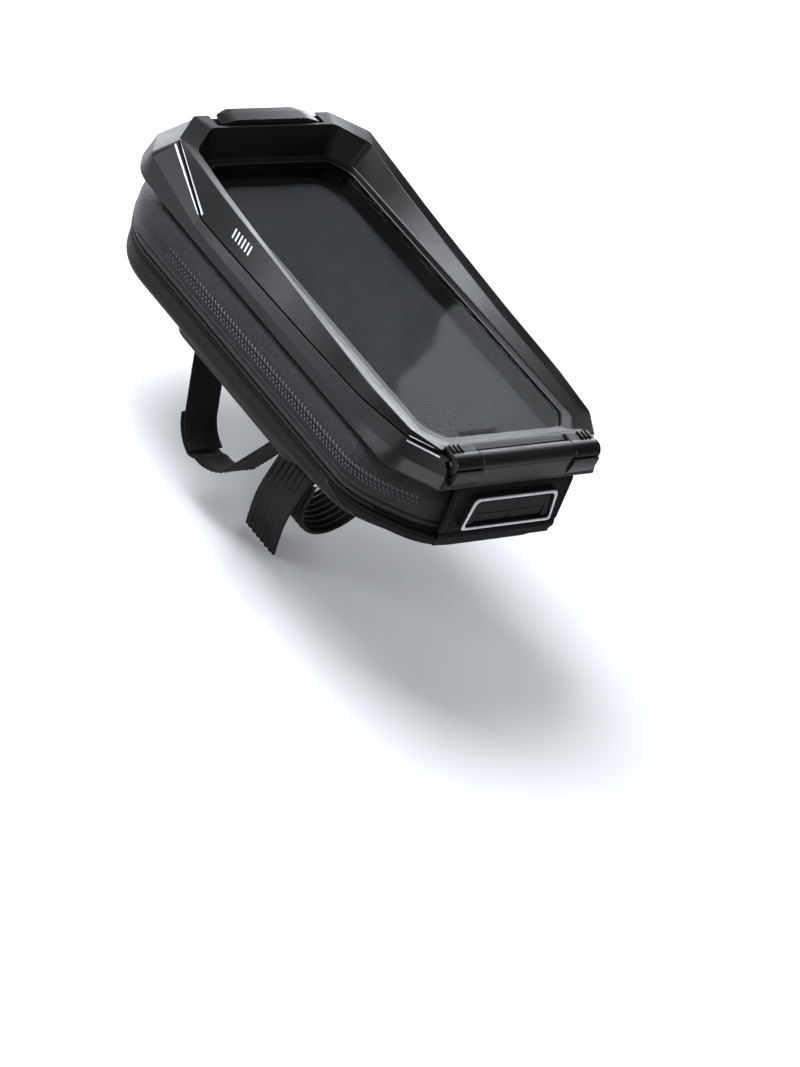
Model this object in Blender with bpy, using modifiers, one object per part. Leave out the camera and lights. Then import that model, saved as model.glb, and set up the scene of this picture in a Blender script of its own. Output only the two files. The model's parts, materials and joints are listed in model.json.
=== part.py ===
"""Handlebar phone bag with a flip-up visor, a touch window and strap mounts.

World frame, metres (the numbers below are millimetres, scaled by MM):
  +X  to the right across the bag, X = 0 is its middle
  +Y  along the bag, away from the rider
  +Z  out through the window
The flat underside of the grip pad lies on Z = 0 and its middle is the origin.

Bodies: the bag (lower shell, pad, straps), the lid on its fabric hinge at the
rider's end, the visor on its pin hinge on top of the lid, the latch slide at
the far end of the visor, the zip slider with its pull, the cable port flap.
"""
import bpy
import bmesh
import math
from mathutils import Vector, Matrix

MM = 0.001

# ------------------------------------------------------------------ driving dimensions (mm)
ARC = 5                       # segments in one rounded corner
GAP = 0.3                     # clearance left between neighbouring pieces

BAG_W = 60.6                  # half width of the lid at its lip
LIP_Z = 23.4                  # lower edge of the lid
LID_TOP = 43.0                # flat of the lid under the base frame
Y_NEAR = -99.0                # rider's end of the lid at the lip
Y_FAR = 105.0                 # far end of the lid
WALL = 2.2                    # moulded shell thickness

SHELL_RIM = 20.4              # upper edge of the lower shell
SHELL_BOTTOM = 7.0            # outside of the lower shell floor
SHELL_NEAR_RISE = 6.5         # how far the floor rises at the rider's end

HINGE_Y, HINGE_Z, HINGE_R = -94.0, 54.4, 4.2     # visor hinge
BARREL_X = 26.2               # half length of the fixed barrel
KNUCKLE_X = 41.0              # outer end of the visor knuckles
PIN_R = 1.1

LID_HINGE_Y, LID_HINGE_Z = -101.6, 22.0          # fabric hinge of the lid

WIN_X, WIN_Y = 39.6, 81.0     # half size of the clear aperture
BEZEL_Z = 55.6                # upper face of the flat bezel around the aperture

BAR_R = 15.9                  # handlebar the straps are set for (31.8 mm)
BAR_Y, BAR_Z = 6.0, -16.2     # its axis
STRAP_T = 1.6
BAR_STRAP_X, BAR_STRAP_W = 38.0, 18.0
SLOT_Y0, SLOT_Y1 = -21.5, 33.5  # slots of the bar straps in the strap plate
STEM_Y, STEM_W = -22.0, 20.0  # stem strap, middle and width along Y
STEM_R, STEM_Z = 17.4, -25.0  # stem the third strap is set for
STEM_SLOT_X = 20.0

ZIP_X = 60.2                  # outside of the zip teeth
ZIP_Z = 21.9                  # level of the zip line

# ------------------------------------------------------------------ clean scene
for _o in list(bpy.data.objects):
    bpy.data.objects.remove(_o, do_unlink=True)

SCENE = bpy.context.scene
PART = bpy.data.collections.new("phone_bag_mount")
CUT = bpy.data.collections.new("cutters")
SCENE.collection.children.link(PART)
SCENE.collection.children.link(CUT)


# ------------------------------------------------------------------ helpers
def material(name, rgb, rough=0.5, metal=0.0, alpha=1.0):
    m = bpy.data.materials.new(name)
    m.use_nodes = True
    b = m.node_tree.nodes.get("Principled BSDF")
    b.inputs["Base Color"].default_value = (rgb[0], rgb[1], rgb[2], 1.0)
    b.inputs["Roughness"].default_value = rough
    b.inputs["Metallic"].default_value = metal
    b.inputs["Alpha"].default_value = alpha
    m.diffuse_color = (rgb[0], rgb[1], rgb[2], alpha)
    return m


def shade(bm, angle=38.0):
    lim = math.radians(angle)
    for f in bm.faces:
        f.smooth = True
    for e in bm.edges:
        e.smooth = not (len(e.link_faces) == 2 and e.calc_face_angle(0.0) > lim)


def finish(name, bm, mat, origin=(0, 0, 0), coll=None, angle=38.0):
    """bm holds millimetres in world axes; the object keeps its origin at `origin`."""
    bmesh.ops.recalc_face_normals(bm, faces=bm.faces[:])
    shade(bm, angle)
    o = Vector(origin)
    for v in bm.verts:
        v.co = (v.co - o) * MM
    me = bpy.data.meshes.new(name)
    bm.to_mesh(me)
    bm.free()
    ob = bpy.data.objects.new(name, me)
    ob.location = o * MM
    (coll or PART).objects.link(ob)
    if mat is not None:
        me.materials.append(mat)
    return ob


def ring(half, n=ARC):
    """Closed outline from its right-hand half (x, y, z, rounding), rider's end first."""
    p = [Vector(v[:3]) for v in half]
    t = [v[3] for v in half]
    pts = p + [Vector((-v.x, v.y, v.z)) for v in reversed(p)]
    tt = t + t[::-1]
    out = []
    m = len(pts)
    for i in range(m):
        a, c, b = pts[i - 1], pts[i], pts[(i + 1) % m]
        if tt[i] <= 0:
            out.append(c.copy())
            continue
        pa = c + (a - c) * min(0.49, tt[i] / max((a - c).length, 1e-6))
        pb = c + (b - c) * min(0.49, tt[i] / max((b - c).length, 1e-6))
        for k in range(n + 1):
            s = k / n
            out.append(pa * (1 - s) ** 2 + c * 2 * s * (1 - s) + pb * s * s)
    return out


def inset(half, d, dz=0.0, z=None):
    """Move the outline inward by d, keeping the number of points."""
    p = [Vector((v[0], v[1])) for v in half]
    pts = p + [Vector((-v.x, v.y)) for v in reversed(p)]
    m = len(pts)
    res = []
    for i in range(len(p)):
        a, c, b = pts[i - 1], pts[i], pts[(i + 1) % m]
        u = (c - a).normalized()
        w = (b - c).normalized()
        nu, nw = Vector((-u.y, u.x)), Vector((-w.y, w.x))
        k = nu + nw
        k = k / max(k.dot(k) / 2.0, 1e-6)
        q = c + k * d
        t = half[i][3]
        if t > 0:
            t = max(0.5, t - 0.41 * d)
        zz = half[i][2] + dz if z is None else z
        res.append((q.x, q.y, zz, t))
    return res


def loft(name, rings, mat, closed=False, origin=(0, 0, 0), coll=None, angle=38.0):
    """Skin the outlines in order; open ends are capped across the middle."""
    bm = bmesh.new()
    vs = [[bm.verts.new(p) for p in r] for r in rings]
    n = len(vs[0])
    if any(len(v) != n for v in vs):
        raise ValueError("outlines of %s differ: %s" % (name, [len(v) for v in vs]))
    pairs = list(zip(vs, vs[1:] + vs[:1])) if closed else list(zip(vs[:-1], vs[1:]))
    for a, b in pairs:
        for i in range(n):
            j = (i + 1) % n
            bm.faces.new((a[i], a[j], b[j], b[i]))
    if not closed:
        for r in (vs[0], vs[-1]):
            for i in range(n // 2 - 1):
                bm.faces.new((r[i], r[i + 1], r[n - 2 - i], r[n - 1 - i]))
    return finish(name, bm, mat, origin, coll, angle)


def slab(name, half, z0, z1, mat, ch=0.4, origin=(0, 0, 0), coll=None):
    """Plate with an outline, chamfered on both faces."""
    a = [(x, y, z0, t) for x, y, _, t in half]
    rs = [ring(inset(a, ch)), ring(inset(a, 0, dz=ch)),
          ring(inset(a, 0, dz=z1 - z0 - ch)), ring(inset(a, ch, dz=z1 - z0))]
    return loft(name, rs, mat, origin=origin, coll=coll)


def frame_slab(name, outer, inner, z0, z1, mat, ch=0.3, origin=(0, 0, 0)):
    """Flat ring between two outlines with the same number of points."""
    a = [(x, y, z0, t) for x, y, _, t in outer]
    b = [(x, y, z0, t) for x, y, _, t in inner]
    h = z1 - z0
    rs = [ring(inset(a, ch)), ring(inset(a, 0, dz=ch)), ring(inset(a, 0, dz=h - ch)), ring(inset(a, ch, dz=h)),
          ring(inset(b, -ch, dz=h)), ring(inset(b, 0, dz=h - ch)), ring(inset(b, 0, dz=ch)), ring(inset(b, -ch))]
    return loft(name, rs, mat, closed=True, origin=origin)


def rect(hx, y0, y1, t, c=0.0):
    """Right-hand half of a rounded rectangle (corner cut c)."""
    if c <= 0:
        return [(hx, y0, 0, t), (hx, y1, 0, t)]
    return [(hx - c, y0, 0, t), (hx, y0 + c, 0, t), (hx, y1 - c, 0, t), (hx - c, y1, 0, t)]


def block(name, size, loc, mat=None, bevel=0.0, rot=(0, 0, 0), coll=None, segs=2):
    """Box of the given size (mm) centred on loc."""
    bm = bmesh.new()
    bmesh.ops.create_cube(bm, size=1.0)
    for v in bm.verts:
        v.co = Vector((v.co.x * size[0], v.co.y * size[1], v.co.z * size[2]))
    if bevel > 0:
        bmesh.ops.bevel(bm, geom=bm.edges[:] + bm.verts[:], offset=bevel, segments=segs,
                        profile=0.5, affect='EDGES', clamp_overlap=True)
    bmesh.ops.recalc_face_normals(bm, faces=bm.faces[:])
    shade(bm)
    for v in bm.verts:
        v.co *= MM
    me = bpy.data.meshes.new(name)
    bm.to_mesh(me)
    bm.free()
    ob = bpy.data.objects.new(name, me)
    ob.location = Vector(loc) * MM
    ob.rotation_euler = rot
    (coll or PART).objects.link(ob)
    if mat is not None:
        me.materials.append(mat)
    return ob


AXIS_ROT = {'X': (0, math.radians(90), 0), 'Y': (math.radians(-90), 0, 0), 'Z': (0, 0, 0)}


def turned(name, profile, loc, axis='Z', mat=None, steps=24, coll=None):
    """Solid of revolution: (radius, height) profile turned with a Screw modifier."""
    me = bpy.data.meshes.new(name)
    bm = bmesh.new()
    vs = [bm.verts.new((r * MM, 0.0, h * MM)) for r, h in reversed(profile)]
    for a, b in zip(vs[:-1], vs[1:]):
        bm.edges.new((a, b))
    bm.to_mesh(me)
    bm.free()
    ob = bpy.data.objects.new(name, me)
    ob.location = Vector(loc) * MM
    ob.rotation_euler = AXIS_ROT[axis] if isinstance(axis, str) else axis
    (coll or PART).objects.link(ob)
    if mat is not None:
        me.materials.append(mat)
    s = ob.modifiers.new("turn", 'SCREW')
    s.axis = 'Z'
    s.steps = steps
    s.render_steps = steps
    s.use_merge_vertices = True
    s.merge_threshold = 0.00001
    s.use_smooth_shade = True
    s.use_normal_calculate = False
    return ob


def rod(name, r, length, loc, axis='Z', mat=None, ch=0.0, steps=24, coll=None):
    h = length / 2.0
    if ch > 0:
        prof = [(0, -h), (r - ch, -h), (r, -h + ch), (r, h - ch), (r - ch, h), (0, h)]
    else:
        prof = [(0, -h), (r, -h), (r, h), (0, h)]
    return turned(name, prof, loc, axis, mat, steps, coll)


def ribbon(name, path, half_w, axis, mat, thick, closed=False, origin=(0, 0, 0)):
    """Flat strap: centre line in a plane, given thickness, extruded to both sides.

    axis 'X': path is (y, z) and the strap is 2*half_w wide along X.
    axis 'Y': path is (x, z) and the strap is 2*half_w wide along Y.
    """
    m = len(path)
    left, right = [], []
    for i, p in enumerate(path):
        p = Vector(p)
        if closed:
            a, b = Vector(path[i - 1]), Vector(path[(i + 1) % m])
        else:
            a, b = Vector(path[max(i - 1, 0)]), Vector(path[min(i + 1, m - 1)])
        d = (b - a).normalized()
        nrm = Vector((-d.y, d.x))
        left.append(p + nrm * thick / 2)
        right.append(p - nrm * thick / 2)
    bm = bmesh.new()

    def at(q, s):
        return (s, q.x, q.y) if axis == 'X' else (q.x, s, q.y)

    c0, c1 = (-half_w, half_w) if not isinstance(half_w, tuple) else half_w
    rows = []
    for l, r in zip(left, right):
        rows.append([bm.verts.new(at(l, c0)), bm.verts.new(at(l, c1)),
                     bm.verts.new(at(r, c1)), bm.verts.new(at(r, c0))])
    prs = list(zip(rows, rows[1:] + rows[:1])) if closed else list(zip(rows[:-1], rows[1:]))
    for a, b in prs:
        for i in range(4):
            j = (i + 1) % 4
            bm.faces.new((a[i], a[j], b[j], b[i]))
    if not closed:
        bm.faces.new(rows[0])
        bm.faces.new(rows[-1])
    return finish(name, bm, mat, origin)


def arc(cx, cy, r, a0, a1, n):
    return [(cx + r * math.cos(math.radians(a0 + (a1 - a0) * k / n)),
             cy + r * math.sin(math.radians(a0 + (a1 - a0) * k / n))) for k in range(n + 1)]


def cut(ob, *tools, op='DIFFERENCE'):
    for t in tools:
        b = ob.modifiers.new("cut_" + t.name, 'BOOLEAN')
        b.operation = op
        b.solver = 'EXACT'
        b.object = t
        t.hide_render = True
        t.display_type = 'WIRE'


# ------------------------------------------------------------------ materials
M_PLASTIC = material("hard_plastic_black", (0.030, 0.031, 0.034), 0.35)
M_BEZEL = material("bezel_gloss_black", (0.012, 0.012, 0.014), 0.12)
M_EVA = material("eva_faux_leather", (0.050, 0.050, 0.053), 0.6)
M_WEAVE = material("carbon_emboss_fabric", (0.040, 0.040, 0.043), 0.65)
M_PANEL = material("ribbed_hinge_fabric", (0.030, 0.030, 0.032), 0.75)
M_RUBBER = material("rubber_dark", (0.035, 0.035, 0.036), 0.7)
M_FILM = material("clear_tpu_film", (0.85, 0.88, 0.9), 0.08, alpha=0.25)
M_FOAM = material("foam_grey", (0.12, 0.12, 0.125), 0.9)
M_TAPE = material("zip_tape_black", (0.02, 0.02, 0.022), 0.8)
M_METAL = material("nickel_plated_steel", (0.62, 0.62, 0.64), 0.25, 1.0)
M_DARKMETAL = material("black_zinc", (0.09, 0.09, 0.095), 0.35, 1.0)
M_STRAP = material("hook_loop_webbing", (0.045, 0.045, 0.047), 0.9)
M_SILVER = material("silver_trim", (0.70, 0.71, 0.73), 0.3, 0.0)
M_BOARD = material("stiffener_board", (0.06, 0.06, 0.062), 0.8)

# ------------------------------------------------------------------ outlines (right-hand halves)
S_Y = (-53.0, -17.0, 20.0, 43.0)          # stations along the sides


def sides(x, z):
    return [(x, y, z, 0) for y in S_Y]


LID_OUT = ([(34.0, Y_NEAR, 0, 14), (BAG_W, -74.5, 0, 14)] + sides(BAG_W, 0)
           + [(BAG_W, 81.0, 0, 14), (37.0, Y_FAR, 0, 14)])
SHELL_OUT = ([(33.5, -99.9, 0, 14), (58.9, -75.0, 0, 14)] + sides(58.9, 0)
             + [(58.9, 80.0, 0, 14), (36.0, 103.2, 0, 14)])


def lid_ring(d, z, near=0.0):
    """Lid outline inset by d at height z; its rider's end leans inward with height."""
    lean = max(0.0, (z - 24.0)) * 0.16 + near
    h = inset([(x, y, z, t) for x, y, _, t in LID_OUT], d)
    return ring([(x, y + lean if y < -70 else y, zz, t) for x, y, zz, t in h])


def floor_z(y):
    t = max(0.0, min(1.0, (-5.0 - y) / 92.0))
    return SHELL_BOTTOM + SHELL_NEAR_RISE * t ** 1.8


def shell_ring(d, f, lift=0.0, z=None):
    """Lower shell outline inset by d, a fraction f up its rounded edge."""
    h = inset([(x, y, 0, t) for x, y, _, t in SHELL_OUT], d)
    pts = ring([(x, y, 0, t) for x, y, zz, t in h])
    out = []
    for p in pts:
        b = floor_z(p.y) + lift
        p.z = z if z is not None else b + f
        out.append(p)
    return out


# ================================================================== BAG BODY
EDGE_R = 6.5
rs = []
for k in range(5):                         # rounded lower edge, outside
    a = math.radians(90 * k / 4)
    rs.append(shell_ring(EDGE_R * (1 - math.sin(a)) + 0.9, EDGE_R * (1 - math.cos(a))))
rs.append(shell_ring(0.0, 0, z=SHELL_RIM - 0.5))
rs.append(shell_ring(0.5, 0, z=SHELL_RIM))
rs.append(shell_ring(WALL - 0.3, 0, z=SHELL_RIM))
for k in range(4, -1, -1):                 # inside of the same edge
    a = math.radians(90 * k / 4)
    rs.append(shell_ring(4.5 * (1 - math.sin(a)) + 0.9 + WALL, 4.5 * (1 - math.cos(a)), lift=WALL - 0.4))
lower_shell = loft("lower_shell", rs, M_WEAVE)

# stiffener board on the floor of the bag
BOARD_Z = 10.0
board = slab("stiffener_board", rect(46.0, -36.0, 45.0, 4, 5), BOARD_Z, BOARD_Z + 1.5, M_BOARD, ch=0.3)

# hard strap plate and rubber grip pad under the floor
PLATE_Z0, PLATE_Z1 = 2.9, SHELL_BOTTOM - GAP
plate = slab("strap_plate", rect(51.0, -38.0, 47.0, 3, 5), PLATE_Z0, PLATE_Z1, M_PLASTIC, ch=0.6)
pad = slab("grip_pad", rect(16.5, -11.0, 23.0, 2, 4), 0.0, PLATE_Z0 - GAP, M_RUBBER, ch=0.4)
for i, y in enumerate((-7.0, 11.0, 15.0, 19.0)):
    g = block("cut_pad_groove_%d" % i, (44.0, 1.6, 1.6), (0, y, 0.0), coll=CUT)
    cut(pad, g)

# rivets through plate, floor and board
RIVETS = [(15.0, 41.0), (-15.0, 41.0), (41.0, -31.0), (-41.0, -31.0)]
for i, (x, y) in enumerate(RIVETS):
    z0 = PLATE_Z0 + 0.5
    h = BOARD_Z + 1.5 + 0.3 - z0
    turned("plate_rivet_%d" % (i + 1),
           [(0, 0), (2.5, 0), (3.0, 0.35), (3.0, 0.9), (1.5, 0.9), (1.5, h), (3.0, h), (2.7, h + 0.8),
            (1.5, h + 1.2), (0, h + 1.2)], (x, y, z0), 'Z', M_DARKMETAL, steps=20)
    hole = rod("cut_rivet_hole_%d" % i, 1.9, 16.0, (x, y, 9.0), 'Z', coll=CUT)
    step = turned("cut_rivet_step_%d" % i, [(0, -2), (3.4, -2), (3.4, 1.8), (1.9, 1.8), (1.9, 8), (0, 8)],
                  (x, y, PLATE_Z0), 'Z', coll=CUT)
    cut(lower_shell, hole)
    cut(board, hole)
    cut(plate, step)

# slots and channels of the straps in the plate
for side, tag in ((-1, "left"), (1, "right")):
    x = side * BAR_STRAP_X
    for k, y in enumerate((SLOT_Y0, SLOT_Y1)):
        cut(plate, block("cut_bar_slot_%s_%d" % (tag, k), (BAR_STRAP_W + 2, 3.6, 9), (x, y, 4.0), coll=CUT))
    cut(plate, block("cut_bar_channel_%s" % tag, (BAR_STRAP_W + 2, SLOT_Y1 - SLOT_Y0, 3.0),
                     (x, (SLOT_Y0 + SLOT_Y1) / 2, 6.1), coll=CUT))
    xs = side * STEM_SLOT_X
    cut(plate, block("cut_stem_slot_%s" % tag, (3.6, STEM_W + 2, 9), (xs, STEM_Y, 4.0), coll=CUT))
    cut(plate, block("cut_stem_channel_%s" % tag, (14.0, STEM_W + 2, 3.0), (xs - side * 6.0, STEM_Y, 6.1), coll=CUT))

CH_Z = 5.7                                 # middle of a strap lying in its channel


def tangent(c, r, q, sign):
    """Angle (degrees) where a line from q touches the circle, on the chosen side."""
    dx, dy = q[0] - c[0], q[1] - c[1]
    d = math.hypot(dx, dy)
    return math.degrees(math.atan2(dy, dx)) + sign * math.degrees(math.acos(r / d))


for side, tag in ((-1, "left"), (1, "right")):
    c = (BAR_Y, BAR_Z)
    r1 = BAR_R + 0.5 + STRAP_T / 2
    r2 = r1 + STRAP_T + 0.35
    q1, q0 = (SLOT_Y1, 2.0), (SLOT_Y0, 2.0)
    a1 = tangent(c, r1, q1, -1)
    a0 = tangent(c, r1, q0, 1)
    path = arc(c[0], c[1], r1, -74, a1, 6)
    path += [q1, (SLOT_Y1, 3.6), (SLOT_Y1 - 0.5, 5.1), (SLOT_Y1 - 2.0, CH_Z),
             (SLOT_Y0 + 2.0, CH_Z), (SLOT_Y0 + 0.5, 5.1), (SLOT_Y0, 3.6), q0]
    path += arc(c[0], c[1], r1, a0, 272, 9)
    path += [(c[0] + (r1 + 0.9) * math.cos(math.radians(278)), c[1] + (r1 + 0.9) * math.sin(math.radians(278)))]
    path += arc(c[0], c[1], r2, 285, 338, 6)
    ribbon("bar_strap_%s" % tag, path,
           (side * BAR_STRAP_X - BAR_STRAP_W / 2, side * BAR_STRAP_X + BAR_STRAP_W / 2), 'X', M_STRAP, STRAP_T,
           origin=(side * BAR_STRAP_X, BAR_Y, BAR_Z))

# stem strap: ribbed rubber, from the right slot under the stem, up through the ring, tail hanging free
RING_X, RING_Z0, RING_Z1, WIRE = -22.2, -14.5, -6.0, 1.1
c = (0.0, STEM_Z)
TS = 1.8
r1 = STEM_R + 0.5 + TS / 2
q = (STEM_SLOT_X, 2.0)
a = tangent(c, r1, q, -1)
path = [(8.5, CH_Z), (STEM_SLOT_X - 2.0, CH_Z), (STEM_SLOT_X - 0.5, 5.1), (STEM_SLOT_X, 3.6), q]
path += arc(c[0], c[1], r1, a, -186, 16)
rb = WIRE + 0.35 + TS / 2
path += arc(RING_X, RING_Z0, rb, 0, 180, 8)
path += [(RING_X - rb - 0.5, -20.0), (RING_X - rb - 1.2, -28.0), (RING_X - rb - 0.9, -36.0),
         (RING_X - rb + 0.6, -43.0), (RING_X - rb + 2.6, -50.0), (RING_X - rb + 3.6, -53.0)]
stem_strap = ribbon("stem_strap", path, (STEM_Y - STEM_W / 2, STEM_Y + STEM_W / 2), 'Y', M_RUBBER, TS)

# short webbing that holds the ring
ru = WIRE + 0.35 + 0.6
path = [(-8.5, CH_Z), (-STEM_SLOT_X + 2.0, CH_Z), (-STEM_SLOT_X + 0.5, 5.2), (-STEM_SLOT_X, 3.6),
        (-STEM_SLOT_X - 0.2, 1.0), (RING_X + ru + 0.1, -2.8)]
path += arc(RING_X, RING_Z1, ru, 0, -180, 8)
path += [(RING_X - ru, -3.4), (RING_X - ru + 0.9, -1.0), (-STEM_SLOT_X - 2.1, 1.4)]
ribbon("ring_webbing", path, (STEM_Y - STEM_W / 2 + 0.5, STEM_Y + STEM_W / 2 - 0.5), 'Y', M_STRAP, 1.2)

# rectangular wire ring: swept round wire
bm = bmesh.new()
cx, cy = RING_X, (RING_Z0 + RING_Z1) / 2
hw, hh = STEM_W / 2 + 1.8, (RING_Z1 - RING_Z0) / 2
corner = 2.4
loop = []
for sx, sz, a0 in ((1, 1, 0), (-1, 1, 90), (-1, -1, 180), (1, -1, 270)):
    for k in range(5):
        t = math.radians(a0 + 90 * k / 4)
        loop.append((STEM_Y + sx * (hw - corner) + corner * math.cos(t), cy + sz * (hh - corner) + corner * math.sin(t)))
rows = []
for i, p in enumerate(loop):
    pa, pb = Vector(loop[i - 1]), Vector(loop[(i + 1) % len(loop)])
    d = (pb - pa).normalized()
    nn = Vector((-d.y, d.x))
    row = []
    for k in range(8):
        t = 2 * math.pi * k / 8
        o = nn * (WIRE * math.cos(t))
        row.append(bm.verts.new((cx + WIRE * math.sin(t), p[0] + o.x, p[1] + o.y)))
    rows.append(row)
for ra, rb_ in zip(rows, rows[1:] + rows[:1]):
    for k in range(8):
        j = (k + 1) % 8
        bm.faces.new((ra[k], ra[j], rb_[j], rb_[k]))
finish("strap_ring", bm, M_METAL, origin=(RING_X, STEM_Y, RING_Z1), angle=60)


# ---- zip tapes: a band round the sides and the far end, open at the rider's end
def u_band(name, half, d_out, d_in, z0, z1, mat):
    ro = ring([(x, y, z0, t) for x, y, _, t in inset(half, d_out)])
    ri = ring([(x, y, z0, t) for x, y, _, t in inset(half, d_in)])
    k = 2 * (ARC + 1) - 2
    ro, ri = ro[k:-k], ri[k:-k]
    bm = bmesh.new()
    rows = []
    for o, i_ in zip(ro, ri):
        rows.append([bm.verts.new((o.x, o.y, z0)), bm.verts.new((o.x, o.y, z1)),
                     bm.verts.new((i_.x, i_.y, z1)), bm.verts.new((i_.x, i_.y, z0))])
    for ra, rb_ in zip(rows[:-1], rows[1:]):
        for q in range(4):
            j = (q + 1) % 4
            bm.faces.new((ra[q], ra[j], rb_[j], rb_[q]))
    bm.faces.new(rows[0])
    bm.faces.new(rows[-1])
    return finish(name, bm, mat)


u_band("zip_tape_lower", LID_OUT, 1.7, 7.0, SHELL_RIM + GAP, ZIP_Z - 0.2, M_TAPE)
u_band("zip_tape_upper", LID_OUT, 1.7, 7.0, ZIP_Z + 0.2, LIP_Z - GAP, M_TAPE)

# ================================================================== LID BODY
WIN_OPEN = ([(30.0, -80.0, 0, 4), (38.5, -71.5, 0, 4)] + sides(38.5, 0) + [(38.5, 71.5, 0, 4), (30.0, 80.0, 0, 4)])


def win_ring(z, d=0.0):
    return ring([(x, y, z, t) for x, y, _, t in inset(WIN_OPEN, d)])


rs = [lid_ring(0.6, LIP_Z), lid_ring(0.0, LIP_Z + 0.7), lid_ring(-0.5, 29.0), lid_ring(-0.5, 33.0),
      lid_ring(0.4, 37.0), lid_ring(2.0, 40.2), lid_ring(4.4, 42.2), lid_ring(7.5, LID_TOP),
      win_ring(LID_TOP), win_ring(LID_TOP - 2.0),
      lid_ring(9.0, LID_TOP - 2.1), lid_ring(5.6, 40.0), lid_ring(3.4, 37.6), lid_ring(2.1, 34.0),
      lid_ring(1.7, 29.0), lid_ring(2.2, LIP_Z + 0.7), lid_ring(2.0, LIP_Z)]
lid_shell = loft("lid_shell", rs, M_EVA, closed=True)

# fabric panel over the rider's end: the living hinge, carries the cable port
LEAN = math.atan(0.16)
PANEL_Y0 = -101.3                         # outer face at Z = 24


def face_y(z):
    return PANEL_Y0 + (z - 24.0) * 0.16


pz0, pz1 = 24.2, 44.2
panel = block("hinge_panel", (66.4, 1.2, (pz1 - pz0) / math.cos(LEAN)),
              (0, face_y((pz0 + pz1) / 2) + 0.6, (pz0 + pz1) / 2), M_PANEL, bevel=0.25, rot=(-LEAN, 0, 0), segs=1)

# flexing strip between the lower shell and the panel, folded round the hinge line
flex_path = [(-100.8, 18.6), (-101.1, 20.2), (-101.45, 21.2), (-101.6, 22.0), (-101.45, 22.8), (-101.1, 23.75)]
hinge_strip = ribbon("hinge_strip", flex_path, (-33.0, 33.0), 'X', M_PANEL, 1.0)

# ---- cable port on the panel
P_LO, P_HI = (25.5, 27.2), (23.5, 41.3)   # half width and height of the port outline


def port_ring(d, out):
    """Trapezoid outline inset by d, standing `out` in front of the panel face."""
    zl, zh = P_LO[1] + d, P_HI[1] - d
    xl = P_LO[0] - d * 1.05
    xh = P_HI[0] - d * 1.05
    k = 0.8 if d < 0.9 else 0.8
    v = []
    for x, z, t in ((xl, zl, 1.6), (xh, zh, 2.6)):
        v.append((x, face_y(z) - out, z, t))
    return ring(v, n=4)


frame_rs = [port_ring(0.0, 0.35), port_ring(0.0, 2.6), port_ring(0.35, 3.0), port_ring(1.3, 3.0), port_ring(1.6, 2.6),
            port_ring(1.6, 0.35)]
port_frame = loft("port_frame", frame_rs, M_SILVER, closed=True)
house_rs = [port_ring(1.95, 0.35), port_ring(1.95, 2.1), port_ring(2.3, 2.4)]
port_housing = loft("port_housing", house_rs, M_RUBBER)
FL_Z0, FL_Z1 = 29.5, 33.6                 # cable slot
slot = block("cut_port_slot", (39.0, 14.0, FL_Z1 - FL_Z0 + 0.6), (0, -101.0, (FL_Z0 + FL_Z1) / 2), coll=CUT)
cut(port_housing, slot)
passage = block("cut_cable_passage", (34.0, 16.0, FL_Z1 - FL_Z0 + 1.2), (0, -99.5, (FL_Z0 + FL_Z1) / 2), coll=CUT)
cut(panel, passage)
cut(lid_shell, passage)
for side, tag in ((-1, "left"), (1, "right")):
    zc = (FL_Z0 + FL_Z1) / 2
    hinge = (side * 9.65, face_y(FL_Z1 - 0.6) - 1.75, FL_Z1 - 0.6)
    fl = block("port_flap_%s" % tag, (18.7, 0.9, FL_Z1 - FL_Z0), (0, 0, 0), M_RUBBER, bevel=0.2, segs=1)
    for v in fl.data.vertices:              # origin on the fold line at the top edge
        v.co.z -= (FL_Z1 - FL_Z0 - 1.2) / 2 * MM
    fl.location = Vector(hinge) * MM

# ---- base frame
T_OUT = [(41.2, -96.8, 49.6, 0), (41.9, -93.2, 56.3, 0), (52.3, -78.3, 55.0, 2), (57.0, -53.0, 53.8, 0),
         (57.0, -17.0, 52.4, 0), (57.0, 20.0, 51.6, 0), (57.0, 43.0, 51.1, 0), (57.0, 54.0, 51.0, 1.0),
         (54.0, 85.5, 65.0, 1.2), (38.0, 97.2, 66.2, 1.2)]
T_IN = [(41.5, -94.4, 49.6, 0), (42.2, -90.2, 56.3, 0), (49.9, -76.9, 55.0, 2), (54.4, -53.0, 53.8, 0),
        (54.4, -17.0, 52.4, 0), (54.4, 20.0, 51.6, 0), (54.4, 43.0, 51.1, 0), (54.4, 53.7, 51.0, 1.0),
        (51.5, 84.2, 65.0, 1.2), (36.8, 94.7, 66.2, 1.2)]
B_MID = [(42.0, -97.6, 48.0, 0), (43.2, -96.9, 50.0, 0), (55.8, -80.6, 49.4, 4), (58.7, -53.0, 47.8, 0),
         (58.7, -17.0, 47.6, 0), (58.7, 20.0, 47.6, 0), (58.7, 43.0, 47.8, 0), (58.7, 55.0, 48.4, 1.0),
         (58.4, 90.8, 54.4, 2.5), (47.4, 101.6, 56.0, 2.5)]
B_LOW = [(42.6, -98.4, 45.0, 0), (44.2, -98.1, 44.9, 0), (59.4, -80.5, 44.2, 7), (59.4, -53.0, 43.9, 0),
         (59.4, -17.0, 43.9, 0), (59.4, 20.0, 43.9, 0), (59.4, 43.0, 43.9, 0), (59.4, 55.0, 43.9, 1.0),
         (59.2, 91.5, 44.6, 7), (46.5, 105.0, 45.4, 7)]
F_IN = [(30.0, -85.2, 46.0, 0), (36.0, -85.2, 46.0, 0), (44.2, -77.0, 46.0, 4), (44.2, -53.0, 46.0, 0),
        (44.2, -17.0, 46.0, 0), (44.2, 20.0, 46.0, 0), (44.2, 43.0, 46.0, 0), (44.2, 54.0, 46.0, 1.0),
        (44.2, 77.0, 46.0, 4), (36.0, 85.2, 46.0, 4)]


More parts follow.
